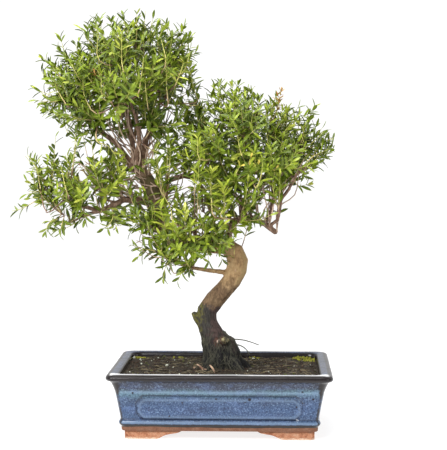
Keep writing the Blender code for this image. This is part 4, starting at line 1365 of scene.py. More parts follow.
@dataclass
class Blade:
    """One leaf as a closed thin lens, one unit long, from a grid folded along its rib."""

    rows: tuple = (0.0, 0.14, 0.36, 0.62, 0.85, 1.0)
    widths: tuple = (0.06, 0.24, 0.46, 0.49, 0.30, 0.0)
    aspect: float = 0.28
    fold: float = 0.10
    arch: float = 0.18
    twist: float = 0.0
    thickness: float = 0.028

    def mesh(self, name: str) -> bpy.types.Mesh:
        """Build the template that every leaf is copied from."""
        shape = bmesh.new()
        bmesh.ops.create_grid(shape, x_segments=2, y_segments=len(self.rows) - 1, size=0.5)
        columns = sorted({round(vert.co.x, 4) for vert in shape.verts})
        heights = sorted({round(vert.co.y, 4) for vert in shape.verts})
        for vert in shape.verts:
            row = heights.index(round(vert.co.y, 4))
            side = columns.index(round(vert.co.x, 4)) - 1
            along = self.rows[row]
            wide = self.widths[row] * self.aspect * 2
            lift = self.fold * abs(side) * wide - self.arch * along ** 2
            vert.co = Vector((side * wide * 0.5, along, lift))
            vert.co = Matrix.Rotation(self.twist * along, 3, "Y") @ vert.co
        upper = shape.faces[:]
        lower = bmesh.ops.duplicate(shape, geom=shape.verts[:] + shape.edges[:] + upper)
        inner = [item for item in lower["geom"] if isinstance(item, bmesh.types.BMVert)]
        bmesh.ops.reverse_faces(
            shape, faces=[item for item in lower["geom"] if isinstance(item, bmesh.types.BMFace)])
        for vert in inner:
            if not vert.is_boundary:
                vert.co.z -= self.thickness
        bmesh.ops.remove_doubles(shape, verts=shape.verts, dist=0.0001)
        bmesh.ops.recalc_face_normals(shape, faces=shape.faces)
        mesh = bpy.data.meshes.new(name)
        shape.to_mesh(mesh)
        shape.free()
        return mesh


class Kind(Enum):
    """How a leaf stands in its life."""

    GREEN = "green"
    YELLOW = "yellow"
    BRONZE = "bronze"


@dataclass
class Shoots:
    """Leafy shoots of one mesh: thin stems with crossed pairs of narrow leaves."""

    seed: int
    centre: Vector = field(default_factory=Vector)
    leaf_length: tuple[float, float] = (13.0 * MM, 18.0 * MM)
    node_length: tuple[float, float] = (5.4 * MM, 7.8 * MM)
    spread: tuple[float, float] = (34.0, 66.0)
    room: tuple = ()
    openings: tuple = ()
    light: Vector = field(default_factory=lambda: UP.copy())
    stem: float = 0.7 * MM
    flat: bool = False

    def __post_init__(self) -> None:
        """Make the templates and the empty meshes with their marks."""
        self.random = random.Random(self.seed)
        forms = (Blade(), Blade(arch=0.30, twist=0.25), Blade(arch=0.08, fold=0.16, twist=-0.2),
                 Blade(aspect=0.31, arch=0.22), Blade(aspect=0.24, arch=0.36, twist=0.4))
        self.templates = [form.mesh("leaf_form") for form in forms]
        self.shape = self.empty()
        self.part = self.empty()
        self.leaves = 0

    @staticmethod
    def empty() -> bmesh.types.BMesh:
        """An empty mesh with the leaf's marks."""
        shape = bmesh.new()
        shape.verts.layers.float.new("tint")
        shape.verts.layers.float.new("across")
        return shape

    def gather(self) -> None:
        """Move what was added since the last call into the whole mesh."""
        mesh = bpy.data.meshes.new("part")
        self.part.to_mesh(mesh)
        self.part.free()
        self.shape.from_mesh(mesh)
        bpy.data.meshes.remove(mesh)
        self.part = self.empty()

    def leaf(self, root: Vector, along: Vector, upper: Vector, length: float, tint: float) -> None:
        """Add one leaf.

        Args:
            root: Where it leaves the stem.
            along: Direction of its rib.
            upper: Rough direction of its upper side.
            length: Its length.
            tint: Its place in the leaf's range of colours.
        """
        along = along.normalized()
        side = along.cross(upper)
        if side.length < 1e-6:
            side = along.orthogonal()
        side.normalize()
        face = side.cross(along)
        tip = root + along * length
        if not (self.fits(tip) and self.fits(tip - face * 0.36 * length)):
            return
        placing = Matrix((side, along, face)).transposed() * length
        first = len(self.part.verts)
        self.part.from_mesh(self.random.choice(self.templates))
        self.part.verts.ensure_lookup_table()
        tint_mark = self.part.verts.layers.float["tint"]
        across_mark = self.part.verts.layers.float["across"]
        for number in range(first, len(self.part.verts)):
            vert = self.part.verts[number]
            vert[tint_mark] = tint
            vert[across_mark] = abs(vert.co.x) * 5
            vert.co = root + placing @ vert.co
        self.leaves += 1

    def fits(self, place: Vector) -> bool:
        """Whether a point lies inside the part's box and in no opening of the foliage."""
        low, high = self.room
        margin = 1.5 * MM
        if not all(low[axis] + margin < place[axis] < high[axis] - margin for axis in range(3)):
            return False
        offset = (place - self.centre) / MM
        return not any(opening.holds(offset) for opening in self.openings)

    def trimmed(self, line: list[Vector]) -> list[Vector]:
        """A line without the points beyond the first one that doesn't fit."""
        for number, point in enumerate(line):
            if number > 1 and not self.fits(point):
                return line[:number]
        return line

    def shoot(self, line: list[Vector], tint: float, leafy: float = 40 * MM,
              kind: Kind = Kind.GREEN, full: float = 1.0, size: float = 1.0) -> None:
        """Add a stem along a line with its leaves.

        Args:
            line: Points of the stem.
            tint: Middle tint of its leaves.
            leafy: Length of the stem, from its tip, that carries leaves.
            kind: What its leaves are like.
            full: Share of its leaves that have not dropped.
            size: Size of its leaves.
        """
        whole = len(line)
        line = self.trimmed(line)
        if len(line) < 4:
            return
        leafy *= len(line) / whole
        thick = self.stem
        count = len(line) - 1
        radii = [thick * (1 - 0.62 * number / count) for number in range(count + 1)]
        reach = [0.0]
        for before, after in zip(line, line[1:]):
            reach.append(reach[-1] + (after - before).length)
        total = reach[-1]
        woody = max(total - leafy, 0.0)
        mark = self.part.verts.layers.float["tint"]
        for number, vert in enumerate(sweep(self.part, line, radii, 5, 1)):
            place = reach[number // 5]
            vert[mark] = 0.5 * ease(place, woody - 20 * MM, woody + 6 * MM) + 0.5 * place / total
        place = woody + self.random.uniform(0, 4) * MM
        turn = self.random.uniform(0, math.pi)
        while place < total - 1.0 * MM:
            spot, ahead = self.read(line, reach, place)
            share = (place - woody) / (total - woody)
            self.pair(spot, ahead, turn, share, tint, kind, full, size)
            place += self.random.uniform(*self.node_length) * size
            turn += math.pi / 2 + self.random.uniform(-0.3, 0.3)
        self.pair(line[-1], (line[-1] - line[-2]).normalized(), turn, 1.0, tint, kind, 1.0, size)

    @staticmethod
    def read(line: list[Vector], reach: list[float], place: float) -> tuple[Vector, Vector]:
        """Point and direction at a distance along a line."""
        for number in range(1, len(line)):
            if reach[number] >= place:
                share = (place - reach[number - 1]) / max(reach[number] - reach[number - 1], 1e-9)
                ahead = (line[number] - line[number - 1]).normalized()
                return line[number - 1].lerp(line[number], share), ahead
        return line[-1], (line[-1] - line[-2]).normalized()

    def pair(self, spot: Vector, ahead: Vector, turn: float, share: float, tint: float,
             kind: Kind, full: float, size: float) -> None:
        """Add two opposite leaves at a node of a stem."""
        first = ahead.orthogonal().normalized()
        if self.flat:
            first = ahead.cross(Vector((0.0, 1.0, 0.0))).normalized()
            turn = self.random.uniform(-0.5, 0.5)
        first = Matrix.Rotation(turn, 3, ahead) @ first
        for out in (first, -first):
            if self.random.random() > full:
                continue
            wide = math.radians(self.random.uniform(*self.spread)) * (1.0 - 0.5 * share ** 4)
            along = ahead * math.cos(wide) + out * math.sin(wide)
            along += Vector([self.random.uniform(-0.12, 0.12) for _ in range(3)])
            upper = ahead * math.sin(wide) - out * math.cos(wide) + self.light * 0.8
            length = self.random.uniform(*self.leaf_length) * (1.0 - 0.30 * share ** 3) * size
            self.leaf(spot, along, upper, length, self.colour(tint, share, kind))

    def colour(self, tint: float, share: float, kind: Kind) -> float:
        """Tint of one leaf, fresher towards the tip of its shoot."""
        if kind is Kind.YELLOW:
            return self.random.uniform(0.85, 0.90)
        if kind is Kind.BRONZE:
            return self.random.uniform(0.95, 1.0)
        fresh = tint + 0.16 * share ** 2 + self.random.gauss(0, 0.12)
        return min(max(fresh, 0.0), 0.80)


@dataclass(frozen=True)
class Blob:
    """An ellipsoid of room that leafy shoots fill, in mm from the pot's middle."""

    middle: tuple[float, float, float]
    half: tuple[float, float, float]

    def holds(self, place: Vector) -> bool:
        """Whether a point lies inside."""
        offset = [(place[axis] - self.middle[axis]) / self.half[axis] for axis in range(3)]
        return sum(value * value for value in offset) < 1.0


@dataclass(frozen=True)
class Opening:
    """Room that the camera sees free of leaves: an ellipse in the plane through the pot's middle."""

    x: float
    z: float
    half_wide: float
    half_tall: float

    def holds(self, place: Vector) -> bool:
        """Whether a point, in mm from the pot's middle, is seen in the ellipse."""
        seen = EYE + (place - EYE) * EYE.y / (EYE.y - place.y)
        across = (seen.x - self.x) / self.half_wide
        up = (seen.z - self.z) / self.half_tall
        return across * across + up * up < 1.0


@dataclass(frozen=True)
class Fan:
    """Bare twigs that fan out from a place on the wood into a blob of room."""

    root: tuple[float, float, float]
    room: Blob
    count: int
    thick: float = 1.0


@dataclass(frozen=True)
class Accent:
    """Shoots of one look that stand out: tint, length with leaves, lines, kind and leaf size."""

    tint: float
    leafy: float
    lines: tuple = ()
    kind: Kind = Kind.GREEN
    size: float = 1.0


@dataclass
class Foliage:
    """All the leafy shoots: a bunch for each CAD spray, and more that fill the room between."""

    centre: Vector
    leaf: bpy.types.Material
    stem: bpy.types.Material
    room: tuple
    shoots_per_spray: int = 9
    reach: tuple[float, float] = (22.0 * MM, 36.0 * MM)
    leafy: float = 40.0 * MM
    fill_spacing: float = 16.0 * MM
    fill_radius: float = 33.0 * MM
    fill_tries: int = 12000
    fill_margin: float = 36.0 * MM
    fill_reach: float = 50.0 * MM
    rise: tuple[float, float] = (34.0 * MM, 62.0 * MM)
    core_reach: float = 22.0 * MM
    lowest_root: float = 192.0 * MM
    crown_foot: float = 345.0 * MM
    seed: int = 21
    # Middle of each mass, which its leaves face away from, how much its shoots rise, and how
    # much fresher its leaves are
    masses: tuple = (("crown", (-122, 20, 405), 0.75, 0.0), ("right", (38, 20, 325), 0.6, 0.07),
                     ("left", (-160, 14, 280), 0.42, 0.09), ("low", (-36, 10, 238), 0.36, 0.09))
    # Room between the sprays that the photograph shows full of leaves
    gaps: tuple = (
        Blob((-152, -8, 384), (40, 30, 26)), Blob((-36, -4, 366), (34, 34, 44)),
        Blob((-112, 0, 380), (40, 40, 26)), Blob((10, -24, 296), (46, 36, 36)),
        Blob((-30, -38, 262), (62, 22, 34)), Blob((-128, -16, 306), (24, 26, 24)),
        Blob((-196, -22, 284), (40, 30, 34)), Blob((66, -6, 330), (50, 50, 34)),
        Blob((-82, -34, 236), (30, 18, 22)), Blob((-6, -40, 236), (30, 14, 16)))
    # Room that the camera sees free of leaves: x and z of its middle, half width and height
    openings: tuple = (
        (52, 228, 16, 14), (30, 212, 8, 6), (84, 287, 9, 10), (-199, 350, 9, 8),
        (-174, 345, 5, 3), (-154, 342, 4, 3), (-212, 362, 4, 6), (-254, 306, 6, 14),
        (-250, 343, 6, 5), (-244, 278, 5, 4), (-165, 256, 8, 4), (-185, 235, 6, 5),
        (-158, 284, 8, 3), (-143, 492, 3, 8), (-183, 486, 4, 7), (-177, 505, 4, 4),
        (-230, 435, 4, 14), (-240, 411, 4, 3), (-53, 418, 4, 5), (-89, 356, 5, 9),
        (-76, 330, 5, 4), (-42, 304, 6, 4), (-63, 296, 5, 4), (22, 273, 3, 4), (42, 267, 3, 4),
        (64, 262, 4, 6), (-87, 213, 9, 4), (-21, 201, 15, 4), (-65, 198, 5, 5), (-59, 174, 6, 5),
        (-80, 182, 5, 4), (-110, 194, 3, 5), (-124, 228, 4, 4), (-126, 202, 4, 4),
        (112, 405, 4, 4), (130, 375, 4, 3), (-22, 271, 5, 6), (-219, 332, 4, 4),
        (-199, 264, 9, 6), (-30, 246, 6, 5), (-66, 384, 5, 5), (-36, 498, 5, 5),
        (-230, 411, 6, 4), (-249, 294, 5, 8), (-206, 267, 5, 5), (-253, 329, 5, 6),
        (129, 375, 5, 5), (19, 273, 4, 5), (-112, 512, 4, 5), (-89, 511, 6, 5), (-210, 375, 5, 8),
        (55, 243, 7, 4), (30, 223, 9, 7), (-146, 240, 6, 6), (-134, 361, 6, 7),
        (-120, 352, 10, 8), (-103, 364, 9, 7), (-108, 340, 9, 8), (-92, 346, 5, 6),
        (-90, 308, 6, 14), (-84, 290, 7, 7), (-163, 273, 13, 4), (-137, 281, 12, 5),
        (-118, 284, 7, 5), (-89, 224, 6, 3), (-84, 208, 6, 4), (-52, 184, 4, 4), (-36, 199, 4, 5),
        (-42, 214, 4, 4), (-4, 206, 5, 5), (-127, 247, 4, 4), (-186, 360, 5, 5),
        (-164, 345, 6, 5), (-213, 420, 3, 6), (-228, 449, 4, 6), (-186, 473, 4, 5),
        (-222, 261, 7, 4), (-226, 247, 5, 4), (-242, 311, 4, 4), (-176, 314, 5, 4),
        (97, 310, 3, 4), (92, 296, 4, 4), (22, 230, 5, 6), (-21, 412, 4, 5), (-36, 474, 4, 4),
        (-58, 498, 4, 4))
    # Short shoots whose tips stand out from the masses: depth, then x and z of both ends
    tips_out: tuple = (
        (-10, -76, 475, -73, 491), (-10, -88, 466, -88, 480), (-10, -46, 470, -39, 482),
        (-10, -44, 456, -33, 464), (-10, -127, 488, -129, 500), (-10, -205, 402, -217, 397),
        (-10, -202, 409, -220, 404), (-10, -199, 444, -218, 454), (-8, -21, 407, -22, 421),
        (-8, -12, 407, -9, 424), (-8, -7, 397, -17, 407), (-8, 0, 412, -2, 426),
        (-8, 18, 412, 20, 424), (-8, 35, 402, 36, 416), (-8, 62, 397, 66, 410),
        (-8, 84, 385, 93, 396), (-8, 96, 380, 109, 391), (-8, 111, 360, 123, 367),
        (-8, 119, 353, 136, 360), (-8, 111, 333, 126, 339), (-8, 99, 313, 111, 321),
        (-8, 94, 301, 106, 303), (-8, -51, 377, -44, 390), (-8, -61, 355, -54, 367),
        (-8, -64, 330, -58, 343), (-20, -51, 274, -41, 285), (-20, -127, 252, -117, 259),
        (-20, -135, 257, -145, 249), (-20, -130, 257, -140, 246), (-20, -224, 313, -218, 326),
        (-20, -199, 313, -202, 326), (-20, -244, 274, -259, 270), (-20, -209, 321, -211, 333),
        (-40, -76, 473, -70, 490), (-30, -52, 384, -56, 399), (-20, -38, 416, -37, 436),
        (-30, -50, 401, -56, 413), (-30, -79, 343, -74, 355), (-30, -77, 319, -72, 331),
        (-30, -129, 252, -116, 257), (-40, -30, 222, -22, 214), (-40, -91, 209, -91, 197),
        (-30, -207, 314, -212, 326), (-30, -185, 328, -187, 340), (-20, -201, 387, -213, 394),
        (-20, -186, 365, -193, 377), (-10, 123, 353, 138, 359), (-50, 45, 268, 50, 280),
        (-30, -195, 255, -198, 244), (-30, -210, 257, -215, 246), (-40, -89, 224, -100, 216),
        (-20, 101, 365, 96, 377), (-40, -30, 229, -18, 222), (-20, -44, 428, -38, 446),
        (-20, -44, 402, -40, 424), (-20, -28, 400, -34, 420), (-20, -24, 380, -16, 396),
        (-8, 40, 404, 33, 418), (-8, -152, 484, -152, 502), (-8, -84, 486, -80, 500),
        (-8, -56, 482, -47, 496), (-8, -66, 484, -68, 498), (-8, -212, 424, -227, 420),
        (-8, -206, 446, -220, 458), (-20, -196, 392, -214, 392), (-20, -190, 378, -204, 380),
        (-20, -206, 282, -222, 280), (-20, -220, 288, -235, 286))
    accents: tuple = (
        # Red tip above the right mass, and small bronze tips
        Accent(0.9, 24, (((58, -10, 372), (67, -10, 392), (73, -12, 417)),
                         ((62, -16, 378), (70, -16, 398), (69, -18, 410))), Kind.BRONZE, 0.62),
        Accent(0.9, 9, (((-216, -10, 405), (-234, -10, 426)), ((-166, -12, 312), (-175, -12, 326)),
                        ((-60, -14, 436), (-46, -14, 452)), ((-140, -66, 424), (-148, -70, 436))),
               Kind.BRONZE, 0.7),
        # Yellow leaves in the right mass
        Accent(0.9, 2, (((20, -64, 316), (24, -76, 326)), ((34, -64, 328), (37, -76, 336)),
                        ((34, -68, 320), (36, -78, 327)), ((44, -68, 320), (46, -76, 328)),
                        ((64, -60, 314), (66, -70, 321))), Kind.YELLOW, 0.8),
        # Fresh upright shoots in front
        Accent(0.58, 36, (((-8, -60, 280), (-9, -72, 318)), ((7, -60, 258), (5, -76, 300)),
                          ((-22, -60, 254), (-24, -74, 288)), ((-40, -60, 240), (-42, -70, 272)),
                          ((19, -60, 272), (22, -72, 308)), ((-66, -58, 250), (-72, -70, 280))),
               size=1.2),
        # Long twig at the left, and what hangs beside it
        Accent(0.30, 62, (((-171, -22, 268), (-186, -22, 264), (-214, -24, 260), (-240, -26, 270)),
                          ((-176, -16, 258), (-190, -14, 250), (-204, -12, 247)),
                          ((-160, -18, 264), (-168, -12, 250), (-178, -8, 240)),
                          ((-132, -36, 262), (-137, -38, 254), (-139, -38, 244)),
                          ((-166, -36, 262), (-170, -38, 252), (-172, -38, 243))), size=1.1),
        # Tops of the crown and the right mass
        Accent(0.30, 34, (((-105, -4, 490), (-105, -2, 512)), ((-160, -8, 470), (-166, -8, 498)),
                          ((-142, 0, 474), (-147, 0, 498)), ((-192, 0, 460), (-200, 0, 484)),
                          ((-216, -8, 432), (-225, -8, 450)), ((-54, -8, 466), (-49, -8, 492)),
                          ((-58, 10, 452), (-56, 8, 472)), ((104, -6, 376), (114, -6, 397)),
                          ((128, -4, 346), (142, -4, 358)), ((-88, 0, 486), (-86, 0, 508)))))
    # The branch that hangs at the left of the bend
    hanging: Accent = Accent(
        0.16, 30, (((-34, -36, 212), (-44, -42, 204), (-52, -46, 186)),
                   ((-56, -36, 214), (-66, -40, 206), (-70, -42, 190)),
                   ((-74, -36, 216), (-84, -38, 206), (-92, -40, 190)),
                   ((-84, -36, 220), (-100, -38, 212), (-112, -38, 208)),
                   ((-24, -34, 222), (-34, -44, 214), (-38, -48, 200)),
                   ((-10, -36, 232), (-4, -44, 226), (2, -48, 214)),
                   ((-20, -38, 234), (-16, -46, 224), (-14, -50, 212))), size=1.1)
    # Shoots at the front with pale stems: tint, and places in mm from the pot's middle
    front_shoots: tuple = (
        (0.62, ((-114, -62, 429), (-117, -62, 450), (-117, -60, 484))),
        (0.50, ((-99, -62, 410), (-94, -62, 432), (-91, -60, 455))),
        (0.35, ((-86, -58, 393), (-89, -58, 419), (-89, -56, 432))),
        (0.35, ((-64, -56, 397), (-64, -56, 419), (-65, -54, 453))),
        (0.40, ((-118, -56, 382), (-135, -58, 412), (-148, -56, 443))),
        (0.35, ((-140, -60, 407), (-142, -60, 436))),
        (0.35, ((-149, -52, 389), (-163, -54, 410), (-165, -52, 430))),
        (0.35, ((-164, -50, 422), (-175, -50, 440), (-180, -48, 452))),
        (0.30, ((-186, -34, 398), (-197, -34, 415), (-203, -34, 430))),
        (0.45, ((-146, -50, 453), (-147, -50, 484))),
        (0.30, ((-66, -50, 446), (-71, -50, 478))),
        (0.30, ((-47, -40, 437), (-37, -40, 462))),
        (0.62, ((-59, -50, 418), (-50, -50, 433), (-44, -48, 450))),
        (0.40, ((-31, -20, 403), (-34, -20, 421), (-40, -20, 448))),
        (0.68, ((-6, -62, 265), (-10, -66, 286), (-12, -66, 317))),
        (0.55, ((1, -62, 265), (6, -66, 280), (6, -66, 294))),
        (0.40, ((43, -62, 300), (50, -66, 319), (51, -66, 333))),
        (0.62, ((26, -62, 339), (20, -62, 366))),
        (0.60, ((-24, -60, 334), (-27, -60, 359))),
        (0.62, ((-56, -56, 258), (-59, -56, 274), (-70, -56, 295))),
        (0.35, ((91, -20, 314), (110, -20, 336), (131, -18, 346))),
        (0.50, ((-216, -16, 268), (-224, -18, 301), (-228, -18, 322), (-239, -18, 339))),
        (0.35, ((-182, -56, 287), (-187, -56, 303), (-192, -54, 326))),
        (0.55, ((-150, -46, 357), (-135, -50, 350), (-124, -50, 335))))
    fans: tuple = (
        Fan((-100, 4, 322), Blob((-108, -12, 392), (52, 36, 26)), 26, 1.1),
        Fan((-112, -8, 284), Blob((-146, -16, 318), (44, 22, 20)), 14),
        Fan((-92, 2, 292), Blob((-124, -12, 322), (24, 14, 14)), 12, 0.8),
        Fan((60, -27, 254), Blob((74, -22, 318), (36, 20, 18)), 9),
        Fan((32, -22, 262), Blob((22, -30, 304), (30, 18, 18)), 9),
        Fan((-78, 10, 270), Blob((-50, -10, 316), (26, 22, 22)), 9),
        Fan((-30, -28, 200), Blob((-70, -34, 218), (34, 12, 12)), 8, 0.8),
        Fan((-60, 6, 232), Blob((-84, -34, 240), (26, 14, 16)), 7, 0.8))

    def build(self) -> None:
        """Build every bunch, mass by mass, then the filling shoots and the special ones."""
        self.random = random.Random(self.seed)
        self.skin = self.wood_points()
        self.tips = []
        self.cores = []
        names = sorted(item.name for item in bpy.data.objects if item.name.startswith("spray_"))
        for number, (mass, middle, upward, fresh) in enumerate(self.masses):
            group = self.group(number)
            nodes = tuple(name for name in names if name.startswith(f"spray_{mass}_"))
            for node in nodes:
                self.bunch(group, node, self.spot(*middle), upward, fresh)
                group.gather()
            self.finish(f"leaves_{mass}", group, nodes)
        self.fill()
        self.special()
        self.front()
        self.twigs()

    def group(self, number: int) -> Shoots:
        """An empty group of shoots."""
        openings = tuple(Opening(*row) for row in self.openings)
        return Shoots(self.seed + number, self.centre, room=self.room, openings=openings)

    def finish(self, name: str, group: Shoots, nodes: tuple[str, ...] = ()) -> None:
        """Turn a group of shoots into a piece."""
        group.gather()
        finish_piece(name, group.shape, [self.leaf, self.stem], nodes, 80.0)
        log.info("%s: %d leaves", name, group.leaves)

    def spot(self, x: float, y: float, z: float) -> Vector:
        """A place from millimetres off the pot's middle."""
        return self.centre + Vector((x, y, z)) * MM

    def wood_points(self) -> KDTree:
        """Points of the wood that shoots may grow from, to search by place."""
        verts = bpy.data.objects["trunk"].data.vertices
        able = [vert for vert in verts if vert.co.z > self.lowest_root]
        tree = KDTree(len(able))
        for vert in able:
            tree.insert(vert.co, vert.index)
        tree.balance()
        return tree

    def light_on(self, place: Vector, middle: Vector) -> Vector:
        """The direction that leaves at a place turn their faces to: out of the mass and up."""
        return ((place - middle).normalized() + UP * 0.5).normalized()

    def nearest_mass(self, place: Vector) -> Vector:
        """Middle of the mass that a point belongs to."""
        middles = [self.spot(*middle) for _, middle, _, _ in self.masses]
        return min(middles, key=lambda middle: (place - middle).length)

    def bunch(self, group: Shoots, node: str, middle: Vector, upward: float,
              fresh: float) -> None:
        """Add the shoots of one spray, spread like a bouquet from the end of its twig.

        Args:
            group: Where they are added.
            node: The CAD spray.
            middle: Middle of the mass that the spray belongs to.
            upward: How much the shoots turn up.
            fresh: How much fresher its leaves are.
        """
        verts = bpy.data.objects[node].data.vertices
        foot = min((vert.co for vert in verts), key=lambda place: self.skin.find(place)[2]).copy()
        low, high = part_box(node)
        axis = ((low + high) / 2 - foot).normalized()
        core = foot + axis * self.core_reach
        self.cores.append(core)
        first = axis.orthogonal().normalized()
        second = axis.cross(first)
        start_turn = self.random.uniform(0, math.tau)
        tint = self.random.uniform(0.18, 0.38) + fresh
        for number in range(self.shoots_per_spray):
            lean = math.acos(1 - (number + 0.5) / self.shoots_per_spray * 1.15)
            turn = start_turn + number * GOLDEN_TURN
            out = first * math.cos(turn) + second * math.sin(turn)
            heading = axis * math.cos(lean) + out * math.sin(lean)
            heading = (heading + UP * upward).normalized()
            tip = core + heading * self.random.uniform(*self.reach)
            start = foot + axis * self.random.uniform(0.0, 1.0) * number * MM
            knee = start.lerp(tip, 0.5) + out * 5 * MM - UP * 3 * MM
            group.light = self.light_on(tip, middle)
            group.shoot(self.bend(start, knee, tip), tint + self.random.uniform(-0.1, 0.1),
                        self.leafy)
            self.tips.append(tip)

    @staticmethod
    def bend(start: Vector, knee: Vector, tip: Vector, steps: int = 6) -> list[Vector]:
        """A curved line from a start towards a knee and on to a tip."""
        line = []
        for step in range(steps + 1):
            t = step / steps
            line.append(start * (1 - t) ** 2 + knee * 2 * t * (1 - t) + tip * t ** 2)
        return line

    def wanted(self, place: Vector) -> bool:
        """Whether a point lies in the foliage: near a spray's core or in a named gap."""
        if any((place - core).length < self.fill_radius for core in self.cores):
            return True
        offset = (place - self.centre) / MM
        return any(gap.holds(offset) for gap in self.gaps)

    def fill(self) -> None:
        """Fill the room between the bunches with shoots that rise from the wood below."""
        margin = self.fill_margin
        low = Vector([min(core[axis] for core in self.cores) - margin for axis in range(3)])
        high = Vector([max(core[axis] for core in self.cores) + margin for axis in range(3)])
        lower = self.group(40)
        upper = self.group(41)
        for _ in range(self.fill_tries):
            tip = Vector([self.random.uniform(low[axis], high[axis]) for axis in range(3)])
            crowded = any((tip - other).length < self.fill_spacing for other in self.tips)
            if crowded or not self.wanted(tip):
                continue
            rise = self.random.uniform(*self.rise)
            start, _, gap = self.skin.find(tip - UP * rise)
            if gap > self.fill_reach or start.z > tip.z - 6 * MM:
                continue
            self.tips.append(tip)
            chosen = lower if (tip - self.centre).z < self.crown_foot else upper
            chosen.light = self.light_on(tip, self.nearest_mass(tip))
            out = Vector((tip.x - start.x, tip.y - start.y, 0))
            knee = start.lerp(tip, 0.5) + out * 0.28 - UP * 0.10 * rise
            tint = self.random.uniform(0.12, 0.38) + (0.09 if chosen is lower else 0.0)
            chosen.shoot(self.bend(start, knee, tip), tint, self.leafy, full=0.94)
            chosen.gather()
        self.finish("leaves_inner_low", lower)
        self.finish("leaves_inner_high", upper)

    def reach_out(self, group: Shoots, points: tuple, accent: Accent) -> None:
        """Add a shoot through named places, rooted on the nearest wood.

        Args:
            group: Where it is added.
            points: The places, in mm from the pot's middle.
            accent: What it looks like.
        """
        line = [self.spot(*point) for point in points]
        root = self.skin.find(line[0])[0]
        group.light = self.light_on(line[-1], self.nearest_mass(line[-1]))
        group.shoot(curve_line([root.copy()] + line, 3), accent.tint, accent.leafy * MM,
                    accent.kind, size=accent.size)

    def special(self) -> None:
        """Shoots that stand out in the photograph: fresh, bronze, yellow, long and hanging ones."""
        group = self.group(60)
        tips = tuple(((x, depth, z), (tip_x, depth, tip_z))
                     for depth, x, z, tip_x, tip_z in self.tips_out)
        for accent in (*self.accents, Accent(0.36, 24, tips), self.hanging):
            for points in accent.lines:
                self.reach_out(group, points, accent)
        self.finish("leaves_standing_out", group)

    def brought_out(self, points: tuple) -> tuple:
        """Move places along the camera's line of sight to the front of the foliage there.

        Args:
            points: Places in mm from the pot's middle.

        Returns:
            The places where the camera sees them, just in front of the shoots behind.
        """
        tips = [(tip - self.centre) / MM for tip in self.tips]
        moved = []
        for point in points:
            place = Vector(point)
            depths = [place.y]
            for tip in tips:
                seen = EYE + (tip - EYE) * (place.y - EYE.y) / (tip.y - EYE.y)
                if (seen - place).length < 13:
                    depths.append(max(tip.y - 3, place.y - 26))
            moved.append(tuple(EYE + (place - EYE) * (min(depths) - EYE.y) / (place.y - EYE.y)))
        return tuple(moved)

    def front(self) -> None:
        """Shoots at the front whose pale stems show between the leaves."""
        group = self.group(80)
        group.stem = 1.0 * MM
        group.flat = True
        group.node_length = (8.0 * MM, 11.0 * MM)
        for tint, points in self.front_shoots:
            self.reach_out(group, self.brought_out(points), Accent(tint, 40))
        self.finish("leaves_in_front", group)

    def twigs(self) -> None:
        """Bare twigs that fan out between the limbs and the leafy shoots."""
        shape = bmesh.new()
        for fan in self.fans:
            for _ in range(fan.count):
                turn = [self.random.uniform(-1, 1) for _ in range(3)]
                aim = [fan.room.middle[axis] + turn[axis] * fan.room.half[axis] for axis in range(3)]
                tip = self.spot(*aim)
                jitter = Vector([self.random.uniform(-9, 9) for _ in range(3)]) * MM
                start = self.skin.find(self.spot(*fan.root) + jitter)[0].copy()
                side = Vector([self.random.uniform(-9, 9) for _ in range(3)]) * MM
                low, high = start.lerp(tip, 0.3) + side, start.lerp(tip, 0.66) - side * 0.5
                line = curve_line([start, low, high, tip], 3)
                radii = [fan.thick * (1 - 0.055 * number) * MM for number in range(len(line))]
                sweep(shape, line, radii, 6)
        bark = Plain("twig_bark", tone(122, 94, 82), tone(222, 196, 172), 16 * MM, 0.7)
        finish_piece("bare_twigs", shape, [bark.material()], smooth=80.0)


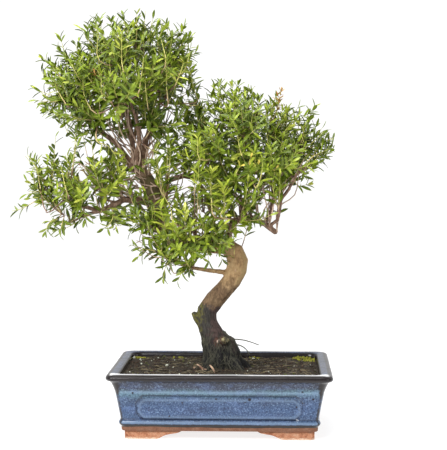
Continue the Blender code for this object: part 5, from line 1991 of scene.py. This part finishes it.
@dataclass
class Studio:
    """Pale floor, soft light and the camera at the photograph's place."""

    centre: Vector
    lens: float = 105.87
    yaw: float = 2.141
    pitch: float = 3.325
    floor_size: float = 30.0
    floor_glow: float = 0.8
    # Lamps: name, place from the pot's middle, size in metres and power in watts
    lamps: tuple = (
        ("key", (-0.85, -1.30, 1.05), (1.3, 0.5), 34.0),
        ("top", (-0.2, -0.3, 1.9), (1.0, 1.0), 22.0), ("fill", (1.5, -1.1, 0.9), (0.9, 0.9), 5.0))
    # Sky's strength in front and behind, and the directions along Y where it starts and ends
    sky_strength: tuple[float, float] = (0.36, 1.08)
    sky_reach: tuple[float, float] = (-0.45, 0.65)

    def build(self) -> None:
        """Set up the floor, the lights, the sky and the camera."""
        self.set_floor()
        self.set_sky()
        for name, place, size, power in self.lamps:
            self.set_lamp(name, Vector(place), size, power)
        self.set_camera()

    def set_floor(self) -> None:
        """A wide pale floor that glows a little, like a light table."""
        shape = bmesh.new()
        bmesh.ops.create_grid(shape, x_segments=1, y_segments=1, size=self.floor_size / 2)
        shader = Shader("pale_floor", 0.9, 0.1)
        shader.surface.inputs["Base Color"].default_value = tone(150, 150, 150)
        shader.surface.inputs["Emission Color"].default_value = (1.0, 1.0, 1.0, 1.0)
        shader.surface.inputs["Emission Strength"].default_value = self.floor_glow
        loose_object("floor", shape, [shader.material])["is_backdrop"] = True

    def set_sky(self) -> None:
        """A white sky behind the object that is dimmer in front of it."""
        world = bpy.data.worlds.new("studio")
        world.use_nodes = True
        tree = world.node_tree
        place = tree.nodes.new("ShaderNodeTexCoord")
        split = tree.nodes.new("ShaderNodeSeparateXYZ")
        range_node = tree.nodes.new("ShaderNodeMapRange")
        range_node.interpolation_type = "SMOOTHSTEP"
        for number, value in enumerate((*self.sky_reach, *self.sky_strength), 1):
            range_node.inputs[number].default_value = value
        tree.links.new(place.outputs["Generated"], split.inputs[0])
        tree.links.new(split.outputs["Y"], range_node.inputs[0])
        background = tree.nodes["Background"]
        background.inputs["Color"].default_value = (1.0, 1.0, 1.0, 1.0)
        tree.links.new(range_node.outputs[0], background.inputs["Strength"])
        bpy.context.scene.world = world
        bpy.context.scene.view_settings.view_transform = "Standard"

    def set_lamp(self, name: str, place: Vector, size: tuple[float, float], power: float) -> None:
        """A soft lamp that faces the tree."""
        lamp = bpy.data.lights.new(name, "AREA")
        lamp.shape = "RECTANGLE"
        lamp.size = size[0]
        lamp.size_y = size[1]
        lamp.energy = power
        item = bpy.data.objects.new(name, lamp)
        item.location = self.centre + place
        aim = self.centre + Vector((0, 0, 0.25)) - item.location
        item.rotation_euler = aim.to_track_quat("-Z", "Y").to_euler()
        bpy.context.scene.collection.objects.link(item)

    def set_camera(self) -> None:
        """The camera at the photograph's viewing angle."""
        camera = bpy.data.cameras.new("camera")
        camera.lens = self.lens
        camera.sensor_width = 36.0
        camera.clip_end = 100.0
        item = bpy.data.objects.new("camera", camera)
        item.location = self.centre + EYE * MM
        item.rotation_euler = (math.radians(90 - self.pitch), 0, math.radians(self.yaw))
        bpy.context.scene.collection.objects.link(item)
        bpy.context.scene.camera = item


def corners(box: tuple) -> list[list[float]]:
    """Two corners of a box as plain lists."""
    return [[float(value) for value in corner] for corner in box]


def main() -> None:
    """Build every piece in order."""
    logging.basicConfig(level=logging.INFO, format="%(message)s")
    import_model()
    low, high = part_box("pot")
    centre = Vector(((low.x + high.x) / 2, (low.y + high.y) / 2, 0.0))
    Studio(centre).build()
    Pot(centre).build()
    plastic = Plain("mesh_plastic", tone(24, 24, 24), tone(38, 38, 38), 3 * MM, 0.6).material()
    for node in ("drain_mesh_left", "drain_mesh_right"):
        DrainMesh(node).build(plastic)
    Soil(centre, Vector((1.0, -12.0, 0.0)) * MM).build()
    Wood(centre).build()
    Foliage(centre, Leaf().material(), Stem().material(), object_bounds()).build()


if __name__ == "__main__":
    main()
